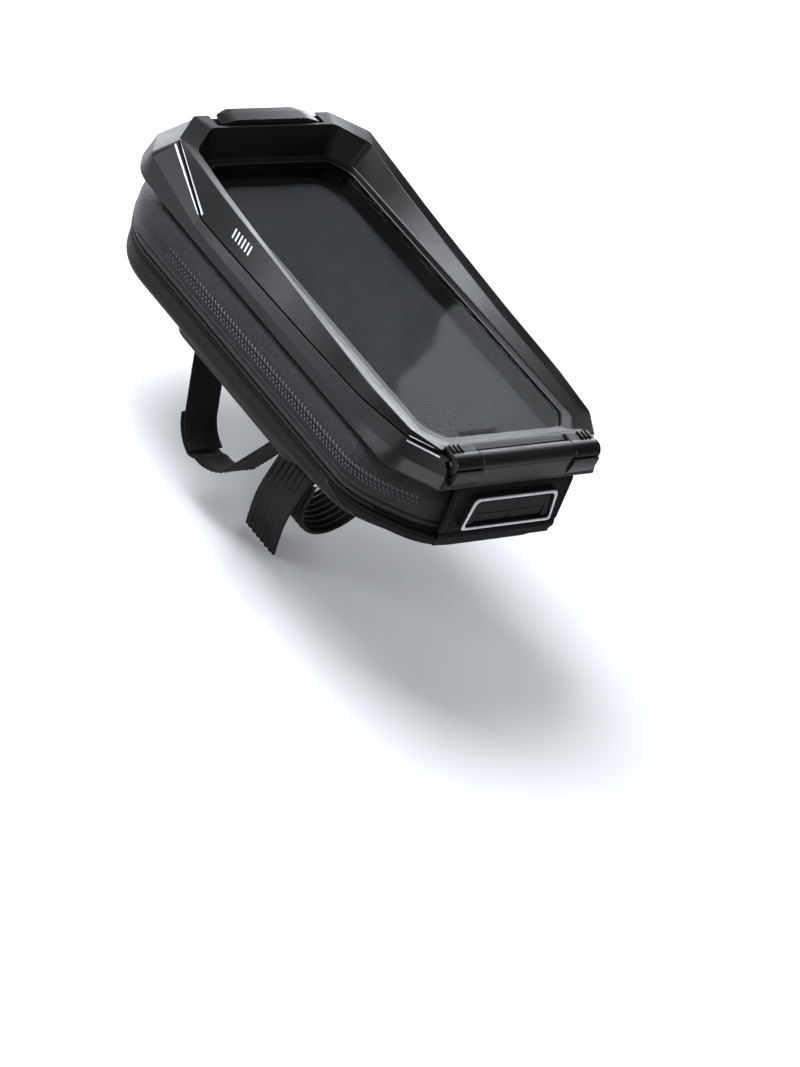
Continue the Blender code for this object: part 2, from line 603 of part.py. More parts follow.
def lifted(half, dz, d=0.0):
    h = inset(half, d) if d else half
    return ring([(x, y, z + dz, t) for x, y, z, t in h])


def setz(half, z):
    return ring([(x, y, z, t) for x, y, _, t in half])


F_WALL = [(39.0, -93.6, 46.4, 0), (40.5, -92.6, 46.4, 0), (52.0, -77.6, 46.4, 4), (55.4, -53.0, 46.4, 0),
          (55.4, -17.0, 46.4, 0), (55.4, 20.0, 46.4, 0), (55.4, 43.0, 46.4, 0), (55.4, 54.0, 46.4, 1.0),
          (55.2, 88.8, 46.4, 5), (44.2, 99.6, 46.4, 5)]
rs = [lifted(B_LOW, -0.6, 0.6), lifted(B_LOW, 0.0), lifted(B_MID, 0.0), lifted(T_OUT, -0.5),
      [a.lerp(b, 0.2) for a, b in zip(lifted(T_OUT, 0.0), lifted(T_IN, 0.0))],
      lifted(T_IN, 0.0), lifted(F_WALL, 0.0), lifted(F_IN, 0.0), lifted(F_IN, -2.7)]
base_frame = loft("base_frame", rs, M_PLASTIC, closed=True)

# fixed hinge barrel with its web
barrel = rod("cut_barrel", HINGE_R, 2 * BARREL_X, (0, HINGE_Y, HINGE_Z), 'X', steps=32, coll=CUT)
web = block("cut_barrel_web", (2 * BARREL_X, 6.0, 8.5), (0, -95.4, 50.2), coll=CUT)
cut(base_frame, web, barrel, op='UNION')
pin_bore = rod("cut_pin_bore", PIN_R + 0.3, 2 * KNUCKLE_X + 4, (0, HINGE_Y, HINGE_Z), 'X', steps=16, coll=CUT)
cut(base_frame, pin_bore)

# latch catch: foot on the floor of the base frame, two posts and the bar the hook closes under
CATCH_Y, LEG_Y = 89.5, 91.6               # the bar, and the leg that stands behind it
catch = block("latch_catch", (24.0, 4.0, 1.6), (0, CATCH_Y + 0.6, 47.5), M_DARKMETAL, bevel=0.3, segs=1)
for k, x in enumerate((-10.2, 10.2)):
    cut(catch, block("cut_catch_post_%d" % k, (2.0, 1.6, 12.0), (x, CATCH_Y, 53.1), coll=CUT), op='UNION')
cut(catch, block("cut_catch_bar", (22.4, 1.6, 1.8), (0, CATCH_Y, 58.6), coll=CUT), op='UNION')

# ---- phone tray, mat and corner bumpers
TRAY_OUT = [(33.5, -84.4, 0, 4), (43.4, -74.5, 0, 4)] + sides(43.4, 0) + [(43.4, 74.5, 0, 4), (33.5, 84.4, 0, 4)]
TRAY_IN = [(33.2, -82.4, 0, 4), (41.4, -74.2, 0, 4)] + sides(41.4, 0) + [(41.4, 74.2, 0, 4), (33.2, 82.4, 0, 4)]


def zring(half, z, d=0.0):
    return ring([(x, y, z, t) for x, y, _, t in inset(half, d)])


rs = [zring(TRAY_OUT, 43.4, 0.4), zring(TRAY_OUT, 43.8), zring(TRAY_OUT, 50.9), zring(TRAY_OUT, 51.2, 0.3),
      zring(TRAY_IN, 51.2, -0.3), zring(TRAY_IN, 50.9), zring(TRAY_IN, 44.8, 0.0)]
tray = loft("phone_tray", rs, M_BOARD)
cable_hole = block("cut_tray_cable", (22.0, 7.0, 6.0), (0, -73.0, 45.0), coll=CUT)
cut(tray, cable_hole)
mat_pad = slab("tray_mat", rect(38.6, -78.5, 78.5, 2, 9), 45.1, 45.9, M_FOAM, ch=0.25)
cut(mat_pad, cable_hole)
for k, (sx, sy) in enumerate(((-1, 1), (1, 1), (-1, -1), (1, -1))):
    tag = ("far_left", "far_right", "near_left", "near_right")[k]
    b = block("corner_bumper_%s" % tag, (8.0, 1.5, 4.2), (sx * 35.7, sy * 77.9, 48.9), M_RUBBER, bevel=0.35, segs=1,
              rot=(0, 0, math.radians(-45 * sx * sy)))

# ================================================================== VISOR BODY
H_LOW = [(41.3, -89.2, 53.4, 0), (42.3, -89.2, 56.75, 0), (44.4, -89.2, 56.75, 0.6), (52.3, -78.3, 55.45, 2),
         (57.0, -53.0, 54.25, 0), (57.0, -17.0, 52.85, 0), (57.0, 20.0, 52.05, 0), (57.0, 43.0, 51.55, 0),
         (57.0, 54.0, 51.45, 1.0), (54.0, 85.5, 65.45, 1.2), (38.0, 97.2, 66.65, 1.2)]
H_RIM = [(40.9, -89.0, 57.2, 0), (41.9, -89.0, 57.3, 0), (43.7, -88.8, 57.6, 0.6), (51.0, -77.6, 58.3, 1.5),
         (53.4, -53.0, 58.9, 0), (53.0, -17.0, 60.3, 0), (53.0, 20.0, 62.3, 0), (53.4, 43.0, 63.5, 0),
         (53.7, 54.0, 64.3, 1.0), (53.5, 85.1, 66.8, 1.2), (37.7, 96.7, 67.9, 1.2)]
H_INN = [(36.0, -86.6, 57.3, 0), (38.4, -86.6, 57.4, 0), (40.6, -85.8, 57.6, 0.8), (48.4, -75.4, 58.2, 1.5),
         (49.0, -53.0, 58.6, 0), (49.0, -17.0, 58.8, 0), (49.0, 20.0, 60.9, 0), (49.0, 43.0, 63.3, 0),
         (49.0, 54.0, 64.3, 0.8), (49.0, 78.8, 67.2, 2.5), (35.0, 88.9, 68.5, 2.5)]
H_BEZ = [(32.0, -84.2, 55.9, 0), (33.5, -84.2, 55.9, 0), (35.5, -84.2, 55.9, 1.5), (43.2, -76.4, 55.7, 2),
         (43.2, -53.0, 55.6, 0), (43.2, -17.0, 55.6, 0), (43.2, 20.0, 55.6, 0), (43.2, 43.0, 55.6, 0),
         (43.2, 54.0, 55.6, 1.0), (43.2, 76.4, 55.6, 2), (33.2, 84.0, 55.6, 2)]
H_AP = [(29.0, -WIN_Y, 55.3, 0), (30.6, -WIN_Y, 55.3, 0), (32.2, -WIN_Y, 55.3, 3.5), (WIN_X, -73.4, 55.3, 3.5),
        (WIN_X, -53.0, 55.3, 0), (WIN_X, -17.0, 55.3, 0), (WIN_X, 20.0, 55.3, 0), (WIN_X, 43.0, 55.3, 0),
        (WIN_X, 54.0, 55.3, 1.0), (WIN_X, 73.4, 55.3, 3.5), (32.2, WIN_Y, 55.3, 3.5)]


def under(half, d, dz):
    h = inset(half, d)
    return [(x, y, z + dz, t) for x, y, z, t in h]


U_AP = [(x, y, 54.95, t) for x, y, _, t in H_AP]
U_BEZ = [(x, y, 54.95, t) for x, y, _, t in inset(H_BEZ, -1.2)]
U_INN = under(H_INN, -1.7, -2.1)
U_RIM = under(H_RIM, 1.9, -2.0)
U_LOW = under(H_LOW, 2.0, 0.0)
U_INN = [(x, y, max(z, 55.3), t) for x, y, z, t in U_INN]
U_RIM = [(x, y, max(z, lo[2] + 0.15), t) for (x, y, z, t), lo in zip(U_RIM, H_LOW)]
U_RIM = [(x, y, max(z, 55.4), t) for (x, y, z, t) in U_RIM]
H_LOWC = [(x, y, z + 0.4, t) for x, y, z, t in H_LOW]
rs = [ring(under(H_LOW, 0.4, 0.0)), ring(H_LOWC), ring(H_RIM), ring(H_INN), ring(H_BEZ),
      ring([(x, y, z + 0.2, t) for x, y, z, t in inset(H_AP, -0.5)]), ring([(x, y, z - 0.1, t) for x, y, z, t in H_AP]),
      ring(U_AP), ring(U_BEZ), ring(U_INN), ring(U_RIM), ring(U_LOW)]
hood = loft("visor_hood", rs, M_PLASTIC, closed=True)
for side, tag in ((-1, "left"), (1, "right")):
    xc = side * (BARREL_X + GAP + KNUCKLE_X) / 2
    ln = KNUCKLE_X - BARREL_X - GAP
    arm = block("cut_arm_%s" % tag, (ln, 6.6, 4.6), (xc, -90.9, 55.9), coll=CUT)
    kn = rod("cut_knuckle_%s" % tag, HINGE_R, ln, (xc, HINGE_Y, HINGE_Z), 'X', steps=32, coll=CUT)
    cut(hood, arm, kn, op='UNION')
cut(hood, pin_bore)
for side, tag in ((-1, "left"), (1, "right")):
    rod("hinge_pin_%s" % tag, PIN_R, 22.0, (side * (KNUCKLE_X - 10.6), HINGE_Y, HINGE_Z), 'X', M_METAL, ch=0.25, steps=16)

# window stack: film, retainer frame, gasket
FILM = [(33.0, -83.4, 0, 3), (42.6, -74.8, 0, 3)] + sides(42.6, 0) + [(42.6, 74.8, 0, 3), (33.0, 83.4, 0, 3)]
film = loft("window_film", [zring(FILM, 54.15), zring(FILM, 54.65)], M_FILM)
RET_IN = [(32.4, -81.4, 0, 3), (40.2, -73.6, 0, 3)] + sides(40.2, 0) + [(40.2, 73.6, 0, 3), (32.4, 81.4, 0, 3)]
RET_OUT = [(34.0, -86.0, 0, 3), (48.0, -75.0, 0, 3)] + sides(52.4, 0) + [(52.4, 66.0, 0, 3), (36.0, 85.2, 0, 3)]
retainer = frame_slab("window_retainer", RET_OUT, RET_IN, 52.8, 53.85, M_PLASTIC, ch=0.2)
GAS_OUT = [(33.2, -83.6, 0, 3), (42.6, -74.6, 0, 3)] + sides(42.6, 0) + [(42.6, 74.6, 0, 3), (33.2, 83.6, 0, 3)]
frame_slab("window_gasket", GAS_OUT, RET_IN, 51.5, 52.5, M_RUBBER, ch=0.2)
SCREWS = [(sx * 50.2, y) for y in (-50.0, 0.0, 50.0) for sx in (-1, 1)]
for k, (x, y) in enumerate(SCREWS):
    top = {-50.0: 57.6, 0.0: 58.6, 50.0: 62.0}[y]
    boss = rod("cut_boss_%d" % k, 1.9, top - 54.15, (x, y, (top + 54.15) / 2), 'Z', steps=16, coll=CUT)
    cut(hood, boss, op='UNION')
    bore = rod("cut_boss_bore_%d" % k, 1.15, 4.0, (x, y, 54.9), 'Z', steps=12, coll=CUT)
    cut(hood, bore)
    cut(retainer, rod("cut_ret_hole_%d" % k, 1.15, 4.0, (x, y, 53.3), 'Z', steps=12, coll=CUT))
    turned("window_screw_%d" % (k + 1), [(0, 0), (1.5, 0), (1.9, 0.35), (1.9, 1.0), (0.85, 1.0), (0.85, 4.6), (0.5, 5.0), (0, 5.0)],
           (x, y, 51.55), 'Z', M_METAL, steps=14)

# ---- latch slide on the far end of the visor
pocket = block("cut_latch_pocket", (60.0, 12.6, 4.0), (0, 96.6, 68.95), coll=CUT)
cut(hood, pocket)
leg_slot = block("cut_latch_leg_slot", (18.0, 7.2, 8.0), (0, 93.7, 66.0), coll=CUT)
cut(hood, leg_slot)
TAB = [(27.6, 90.8, 0, 1.0), (25.5, 97.4, 0, 1.0), (18.6, 100.4, 0, 1.0)]
tab_rs = [ring([(x, y, 67.3, t) for x, y, _, t in inset(TAB, 0.3)]), ring([(x, y, 67.7, t) for x, y, _, t in TAB]),
          ring([(x, y, 68.7, t) for x, y, _, t in TAB]), ring([(x, y, 69.9, t) for x, y, _, t in inset(TAB, 1.7)])]
tab = loft("latch_slide", tab_rs, M_PLASTIC, origin=(0, 94.0, 68.5))
leg = block("cut_latch_leg", (16.0, 1.2, 11.4), (0, LEG_Y, 62.2), coll=CUT)
cut(tab, leg, op='UNION')

# ================================================================== ZIP SLIDER
SL_Y = -62.0
PULL_X = 65.5                             # axis of the pull
slider = block("zip_slider", (2.0, 11.0, 7.2), (62.3, SL_Y, ZIP_Z), M_METAL, bevel=0.5, segs=2)
cut(slider, block("cut_slider_boss", (2.6, 6.0, 1.9), (60.9, SL_Y, ZIP_Z), coll=CUT), op='UNION')
for k, dy in enumerate((-2.9, 2.9)):
    cut(slider, block("cut_slider_lug_%d" % k, (4.2, 1.2, 3.0), (64.8, SL_Y + dy, ZIP_Z), coll=CUT), op='UNION')
cut(slider, rod("cut_slider_axle", 0.6, 6.0, (PULL_X, SL_Y, ZIP_Z), 'Y', steps=10, coll=CUT), op='UNION')
pull = block("zip_pull", (1.5, 8.4, 20.0), (0, 0, 0), M_RUBBER, bevel=0.6, segs=2)
for v in pull.data.vertices:
    v.co.z -= 12.2 * MM
pull.location = Vector((PULL_X, SL_Y, ZIP_Z)) * MM
cut(pull, rod("cut_pull_eye", 1.7, 4.0, (PULL_X, SL_Y, ZIP_Z), 'Y', steps=16, coll=CUT),
    block("cut_pull_neck", (1.5, 4.0, 4.0), (PULL_X, SL_Y, ZIP_Z - 2.6), coll=CUT), op='UNION')
cut(pull, rod("cut_pull_bore", 0.95, 6.0, (PULL_X, SL_Y, ZIP_Z), 'Y', steps=12, coll=CUT))
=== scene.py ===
"""Looks of the handlebar phone bag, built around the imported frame. Lengths below are in millimetres, scaled by MM."""
import bpy
import bmesh
import json
import math
from mathutils import Vector, Matrix
from mathutils.bvhtree import BVHTree

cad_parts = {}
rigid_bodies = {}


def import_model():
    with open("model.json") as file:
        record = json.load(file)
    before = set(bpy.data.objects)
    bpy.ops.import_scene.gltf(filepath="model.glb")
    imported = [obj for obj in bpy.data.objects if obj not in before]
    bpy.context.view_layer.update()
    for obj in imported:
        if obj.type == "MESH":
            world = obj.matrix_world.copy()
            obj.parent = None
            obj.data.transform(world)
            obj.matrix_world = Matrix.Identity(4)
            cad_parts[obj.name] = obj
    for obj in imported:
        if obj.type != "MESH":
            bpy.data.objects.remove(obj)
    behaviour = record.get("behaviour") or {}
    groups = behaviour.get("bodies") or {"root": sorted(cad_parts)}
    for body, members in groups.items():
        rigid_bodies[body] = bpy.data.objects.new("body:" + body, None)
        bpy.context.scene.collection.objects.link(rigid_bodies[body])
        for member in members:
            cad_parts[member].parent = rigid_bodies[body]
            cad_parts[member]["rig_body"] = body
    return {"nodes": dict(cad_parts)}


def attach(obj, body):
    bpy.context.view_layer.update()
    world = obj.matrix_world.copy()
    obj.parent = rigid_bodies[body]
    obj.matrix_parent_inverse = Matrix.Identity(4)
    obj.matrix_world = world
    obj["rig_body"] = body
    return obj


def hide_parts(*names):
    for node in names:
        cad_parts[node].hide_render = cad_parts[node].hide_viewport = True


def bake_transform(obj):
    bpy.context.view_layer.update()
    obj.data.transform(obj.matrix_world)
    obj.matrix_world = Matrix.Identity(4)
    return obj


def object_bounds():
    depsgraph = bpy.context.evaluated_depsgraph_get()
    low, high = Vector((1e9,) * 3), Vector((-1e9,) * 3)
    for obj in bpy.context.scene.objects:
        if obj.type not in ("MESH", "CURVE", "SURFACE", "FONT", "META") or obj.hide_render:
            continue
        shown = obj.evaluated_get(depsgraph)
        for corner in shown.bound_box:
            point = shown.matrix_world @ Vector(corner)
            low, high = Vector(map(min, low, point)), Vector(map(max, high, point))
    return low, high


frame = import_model()
NODES = frame["nodes"]
CAD_LO, CAD_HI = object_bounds()
MM = 0.001
SC = bpy.context.scene


# ================================================================== materials
def tree(name):
    m = bpy.data.materials.new(name)
    m.use_nodes = True
    nt = m.node_tree
    return m, nt, nt.nodes["Principled BSDF"]


def node(nt, kind, **kw):
    n = nt.nodes.new(kind)
    for k, v in kw.items():
        if isinstance(v, bpy.types.NodeSocket):
            nt.links.new(v, n.inputs[k.replace("_", " ")])
        elif k in n.inputs.keys():
            n.inputs[k].default_value = v
        elif k.replace("_", " ") in n.inputs.keys():
            n.inputs[k.replace("_", " ")].default_value = v
        else:
            setattr(n, k, v)
    return n


def put(nt, src, sock):
    nt.links.new(src, sock)


def coords(nt, kind="Object"):
    return node(nt, "ShaderNodeTexCoord").outputs[kind]


def scaled(nt, vec, s=(1, 1, 1), rot=(0, 0, 0)):
    n = node(nt, "ShaderNodeMapping")
    n.inputs["Scale"].default_value = s
    n.inputs["Rotation"].default_value = rot
    put(nt, vec, n.inputs["Vector"])
    return n.outputs[0]


def noise_of(nt, vec, scale, detail=2.0, rough=0.5, dist=0.0):
    n = node(nt, "ShaderNodeTexNoise", Scale=scale, Detail=detail, Roughness=rough, Distortion=dist)
    put(nt, vec, n.inputs["Vector"])
    return n.outputs["Fac"]


def voronoi(nt, vec, scale, feature='F1', rand=1.0):
    n = node(nt, "ShaderNodeTexVoronoi", feature=feature, Scale=scale, Randomness=rand)
    put(nt, vec, n.inputs["Vector"])
    return n.outputs["Distance"]


def maths(nt, op, a, b=None, c=None, clamp=False):
    n = nt.nodes.new("ShaderNodeMath")
    n.operation = op
    n.use_clamp = clamp
    for i, v in enumerate((a, b, c)):
        if v is None:
            continue
        if isinstance(v, (int, float)):
            n.inputs[i].default_value = v
        else:
            put(nt, v, n.inputs[i])
    return n.outputs[0]


def ramp(nt, fac, stops):
    n = nt.nodes.new("ShaderNodeValToRGB")
    e = n.color_ramp.elements
    while len(e) < len(stops):
        e.new(0.5)
    for el, (p, c) in zip(e, stops):
        el.position = p
        el.color = (c, c, c, 1) if isinstance(c, (int, float)) else (*c, 1)
    put(nt, fac, n.inputs[0])
    return n.outputs[0]


def maprange(nt, v, a, b, c, d):
    n = nt.nodes.new("ShaderNodeMapRange")
    put(nt, v, n.inputs[0])
    for i, x in enumerate((a, b, c, d)):
        n.inputs[i + 1].default_value = x
    return n.outputs[0]


def mixrgb(nt, fac, a, b):
    n = nt.nodes.new("ShaderNodeMix")
    n.data_type = 'RGBA'
    for sock, v in ((n.inputs[0], fac), (n.inputs[6], a), (n.inputs[7], b)):
        if isinstance(v, (int, float)):
            sock.default_value = v
        elif isinstance(v, tuple):
            sock.default_value = (*v, 1)
        else:
            put(nt, v, sock)
    return n.outputs[2]


def bump(nt, height, strength=0.3, distance=0.0001, normal=None):
    n = nt.nodes.new("ShaderNodeBump")
    n.inputs["Strength"].default_value = strength
    n.inputs["Distance"].default_value = distance
    put(nt, height, n.inputs["Height"])
    if normal is not None:
        put(nt, normal, n.inputs["Normal"])
    return n.outputs[0]


def edge_wear(nt, lo=0.53, hi=0.62):
    g = node(nt, "ShaderNodeNewGeometry")
    n = noise_of(nt, coords(nt), 400.0, 3.0)
    return maths(nt, 'MULTIPLY', maprange(nt, g.outputs["Pointiness"], lo, hi, 0.0, 1.0),
                 maprange(nt, n, 0.35, 0.7, 0.2, 1.0), clamp=True)


def plastic(name, rgb, rough, grain=0.12, spec=0.5, wear=(0.050, 0.050, 0.053), coat=0.0):
    m, nt, p = tree(name)
    v = coords(nt)
    big = noise_of(nt, v, 35.0, 4.0)
    fine = noise_of(nt, v, 5200.0, 2.0)
    mid = noise_of(nt, v, 900.0, 3.0)
    dark = tuple(c * 0.72 for c in rgb)
    col = mixrgb(nt, maprange(nt, big, 0.3, 0.7, 0.0, 1.0), dark, rgb)
    col = mixrgb(nt, maths(nt, 'MULTIPLY', edge_wear(nt, 0.55, 0.66), 0.35), col, wear)
    put(nt, col, p.inputs["Base Color"])
    r = maths(nt, 'ADD', maprange(nt, big, 0.3, 0.7, rough - 0.04, rough + 0.04),
              maprange(nt, mid, 0.3, 0.7, -0.03, 0.03))
    put(nt, r, p.inputs["Roughness"])
    put(nt, bump(nt, fine, grain, 0.00004), p.inputs["Normal"])
    p.inputs["Specular IOR Level"].default_value = spec
    p.inputs["Coat Weight"].default_value = coat
    p.inputs["Coat Roughness"].default_value = 0.15
    return m


def rubber(name, rgb, rough=0.62, grain=0.35):
    m, nt, p = tree(name)
    v = coords(nt)
    a = noise_of(nt, v, 2600.0, 3.0)
    b = noise_of(nt, v, 60.0, 3.0)
    put(nt, mixrgb(nt, maprange(nt, b, 0.3, 0.7, 0, 1), tuple(c * 0.75 for c in rgb), rgb), p.inputs["Base Color"])
    put(nt, maprange(nt, b, 0.3, 0.7, rough - 0.05, rough + 0.06), p.inputs["Roughness"])
    put(nt, bump(nt, a, grain, 0.00005), p.inputs["Normal"])
    p.inputs["Sheen Weight"].default_value = 0.02
    p.inputs["Specular IOR Level"].default_value = 0.3
    return m


def metal(name, rgb, rough=0.22, brushed=(1, 1, 1), amount=0.08):
    m, nt, p = tree(name)
    v = scaled(nt, coords(nt), brushed)
    a = noise_of(nt, v, 2200.0, 3.0)
    b = noise_of(nt, coords(nt), 300.0, 4.0)
    put(nt, mixrgb(nt, maprange(nt, b, 0.35, 0.7, 0, 1), rgb, tuple(c * 0.8 for c in rgb)), p.inputs["Base Color"])
    put(nt, maprange(nt, a, 0.3, 0.7, rough - 0.05, rough + 0.1), p.inputs["Roughness"])
    put(nt, bump(nt, a, amount, 0.00003), p.inputs["Normal"])
    p.inputs["Metallic"].default_value = 1.0
    return m


def leather(name, band=True):
    """Faux leather over moulded foam; UV is millimetres along the side (u) and up the side (v)."""
    m, nt, p = tree(name)
    v = coords(nt)
    cells = voronoi(nt, v, 1500.0, 'DISTANCE_TO_EDGE')
    crease = maprange(nt, cells, 0.0, 0.26, 0.0, 1.0)
    pebble = noise_of(nt, v, 1900.0, 3.0)
    big = noise_of(nt, v, 28.0, 4.0)
    tone = mixrgb(nt, maprange(nt, big, 0.3, 0.7, 0, 1), (0.0260, 0.0260, 0.0275), (0.0400, 0.0400, 0.0425))
    tone = mixrgb(nt, maths(nt, 'MULTIPLY', crease, 1.0), (0.0080, 0.0080, 0.0088), tone)
    grain = maths(nt, 'ADD', maths(nt, 'MULTIPLY', crease, 0.6), maths(nt, 'MULTIPLY', pebble, 0.6))
    if band:
        uv = node(nt, "ShaderNodeUVMap", uv_map="mm").outputs[0]
        sep = node(nt, "ShaderNodeSeparateXYZ")
        put(nt, uv, sep.inputs[0])
        u, w = sep.outputs[0], sep.outputs[1]
        ob = node(nt, "ShaderNodeSeparateXYZ")
        put(nt, v, ob.inputs[0])
        y = ob.outputs[1]
        mask = maths(nt, 'MULTIPLY', maprange(nt, w, BAND_V0, BAND_V0 + 1.0, 0, 1),
                     maprange(nt, w, BAND_V1 - 2.2, BAND_V1, 1, 0))
        mask = maths(nt, 'MULTIPLY', mask, maths(nt, 'MULTIPLY', maprange(nt, y, -0.086, -0.066, 0, 1),
                                                 maprange(nt, y, 0.050, 0.088, 1, 0)))
        base = mixrgb(nt, maths(nt, 'MULTIPLY', mask, 0.8), tone, (0.0045, 0.0045, 0.0050))
        grain = maths(nt, 'MULTIPLY', grain, maths(nt, 'SUBTRACT', 1.0, maths(nt, 'MULTIPLY', mask, 0.6)))
        put(nt, base, p.inputs["Base Color"])
        put(nt, maths(nt, 'ADD', maprange(nt, big, 0.3, 0.7, 0.37, 0.44), maths(nt, 'MULTIPLY', mask, 0.12)),
            p.inputs["Roughness"])
    else:
        put(nt, tone, p.inputs["Base Color"])
        put(nt, maprange(nt, big, 0.3, 0.7, 0.37, 0.45), p.inputs["Roughness"])
    put(nt, bump(nt, grain, 0.75, 0.00014), p.inputs["Normal"])
    p.inputs["Sheen Weight"].default_value = 0.02
    p.inputs["Sheen Roughness"].default_value = 0.4
    p.inputs["Specular IOR Level"].default_value = 0.28
    return m


def twill(name, rgb=(0.0190, 0.0190, 0.0200), pitch=2.9, slant=-2.2, cell=400.0):
    """Ribbed twill: raised cords broken in steps; UV in millimetres."""
    m, nt, p = tree(name)
    uv = node(nt, "ShaderNodeUVMap", uv_map="mm").outputs[0]
    sep = node(nt, "ShaderNodeSeparateXYZ")
    put(nt, uv, sep.inputs[0])
    u, w = sep.outputs[0], sep.outputs[1]
    big = noise_of(nt, coords(nt), 30.0, 4.0)
    fib = noise_of(nt, scaled(nt, coords(nt), (1, 1, 1)), 3500.0, 2.0)
    row = maths(nt, 'FLOOR', maths(nt, 'DIVIDE', w, cell))
    off = maths(nt, 'MULTIPLY', row, 0.5)
    su = maths(nt, 'ADD', maths(nt, 'DIVIDE', maths(nt, 'ADD', u, maths(nt, 'MULTIPLY', w, slant)), pitch), off)
    wave = maths(nt, 'ABSOLUTE', maths(nt, 'SUBTRACT', maths(nt, 'FRACT', su), 0.5))
    cord = maprange(nt, wave, 0.12, 0.42, 1.0, 0.0)
    step = maths(nt, 'ABSOLUTE', maths(nt, 'SUBTRACT', maths(nt, 'FRACT', maths(nt, 'DIVIDE', w, cell)), 0.5))
    cord = maths(nt, 'MULTIPLY', cord, maprange(nt, step, 0.36, 0.5, 1.0, 0.25))
    tone = mixrgb(nt, maprange(nt, big, 0.3, 0.7, 0, 1), tuple(c * 0.7 for c in rgb), rgb)
    col = mixrgb(nt, cord, tuple(c * 0.35 for c in rgb), tone)
    put(nt, col, p.inputs["Base Color"])
    put(nt, maprange(nt, fib, 0.3, 0.7, 0.52, 0.68), p.inputs["Roughness"])
    h = maths(nt, 'ADD', cord, maths(nt, 'MULTIPLY', fib, 0.3))
    put(nt, bump(nt, h, 0.8, 0.00030), p.inputs["Normal"])
    p.inputs["Sheen Weight"].default_value = 0.03
    p.inputs["Specular IOR Level"].default_value = 0.16
    return m


def woven(name, rgb, pitch=0.9, fuzz=0.5, rough=0.85, sheen=0.06):
    """Plain woven webbing, UV in millimetres."""
    m, nt, p = tree(name)
    uv = node(nt, "ShaderNodeUVMap", uv_map="mm").outputs[0]
    sep = node(nt, "ShaderNodeSeparateXYZ")
    put(nt, uv, sep.inputs[0])
    u, w = sep.outputs[0], sep.outputs[1]
    a = maths(nt, 'SINE', maths(nt, 'MULTIPLY', u, 6.28318 / pitch))
    b = maths(nt, 'SINE', maths(nt, 'MULTIPLY', w, 6.28318 / pitch))
    wv = maths(nt, 'MULTIPLY', a, b)
    fz = noise_of(nt, coords(nt), 4200.0, 4.0)
    big = noise_of(nt, coords(nt), 120.0, 3.0)
    h = maths(nt, 'ADD', maths(nt, 'MULTIPLY', wv, 0.5), maths(nt, 'MULTIPLY', fz, fuzz * 2))
    col = mixrgb(nt, maprange(nt, wv, -1, 1, 0, 1), tuple(c * 0.45 for c in rgb), rgb)
    col = mixrgb(nt, maprange(nt, big, 0.35, 0.75, 0.0, 0.35), col, tuple(c * 1.6 for c in rgb))
    put(nt, col, p.inputs["Base Color"])
    put(nt, maprange(nt, fz, 0.3, 0.7, rough - 0.1, rough + 0.1), p.inputs["Roughness"])
    put(nt, bump(nt, h, 0.6, 0.00015), p.inputs["Normal"])
    p.inputs["Sheen Weight"].default_value = sheen
    p.inputs["Specular IOR Level"].default_value = 0.2
    return m


def foam(name, rgb):
    m, nt, p = tree(name)
    v = coords(nt)
    c = voronoi(nt, v, 1300.0)
    n = noise_of(nt, v, 90.0, 4.0)
    put(nt, mixrgb(nt, maprange(nt, c, 0.0, 0.5, 0, 1), rgb, tuple(x * 0.55 for x in rgb)), p.inputs["Base Color"])
    put(nt, maprange(nt, n, 0.3, 0.7, 0.86, 0.96), p.inputs["Roughness"])
    put(nt, bump(nt, c, 0.6, 0.00012), p.inputs["Normal"])
    p.inputs["Sheen Weight"].default_value = 0.2
    return m


def clear_film(name):
    m, nt, p = tree(name)
    v = coords(nt)
    w = noise_of(nt, v, 22.0, 2.0)
    put(nt, mixrgb(nt, maprange(nt, w, 0.3, 0.7, 0, 1), (0.93, 0.95, 0.97), (0.97, 0.98, 0.99)), p.inputs["Base Color"])
    put(nt, bump(nt, w, 0.25, 0.0006), p.inputs["Normal"])
    p.inputs["Roughness"].default_value = 0.03
    p.inputs["Transmission Weight"].default_value = 1.0
    p.inputs["IOR"].default_value = 1.09
    return m


def paint(name, rgb, rough=0.4, metallic=0.0):
    m, nt, p = tree(name)
    v = coords(nt)
    a = noise_of(nt, v, 1500.0, 3.0)
    b = noise_of(nt, v, 120.0, 3.0)
    put(nt, mixrgb(nt, maprange(nt, b, 0.3, 0.7, 0, 1), tuple(c * 0.85 for c in rgb), rgb), p.inputs["Base Color"])
    put(nt, maprange(nt, a, 0.3, 0.7, rough - 0.06, rough + 0.08), p.inputs["Roughness"])
    put(nt, bump(nt, a, 0.12, 0.00003), p.inputs["Normal"])
    p.inputs["Metallic"].default_value = metallic
    return m


BAND_V0, BAND_V1 = 5.2, 13.4          # embossed band, millimetres up the side of the lid

M_HOOD = plastic("satin_black_plastic", (0.0085, 0.0085, 0.0095), 0.33, grain=0.10, spec=0.28)
M_BASE = plastic("matte_black_plastic", (0.0095, 0.0095, 0.0105), 0.40, grain=0.16, spec=0.38)
M_INNER = plastic("inner_black_plastic", (0.0060, 0.0060, 0.0070), 0.36, grain=0.10, spec=0.42)
M_TRAY = plastic("tray_plastic", (0.011, 0.011, 0.0115), 0.5, grain=0.3, spec=0.35)
M_LEATHER = leather("eva_leather_band", True)
M_LEATHER2 = leather("eva_leather_plain", False)
# the dashes' pale grey colour is a painted highlight from the key light on real raised dashes
M_DASH_HIGHLIT = rubber("moulded_dash_painted_highlight", (0.115, 0.115, 0.122), 0.32, 0.12)
M_TWILL = twill("carbon_twill")
M_PANEL = twill("panel_ribbed", (0.0140, 0.0140, 0.0150), pitch=1.1, slant=0.25, cell=400.0)
M_LINING = woven("tricot_lining", (0.022, 0.022, 0.0235), 0.7, 0.6)
M_WEB = woven("strap_webbing", (0.0160, 0.0160, 0.0168), 1.1, 0.5)
M_LOOP = woven("loop_pile", (0.0135, 0.0135, 0.0142), 0.6, 1.2)
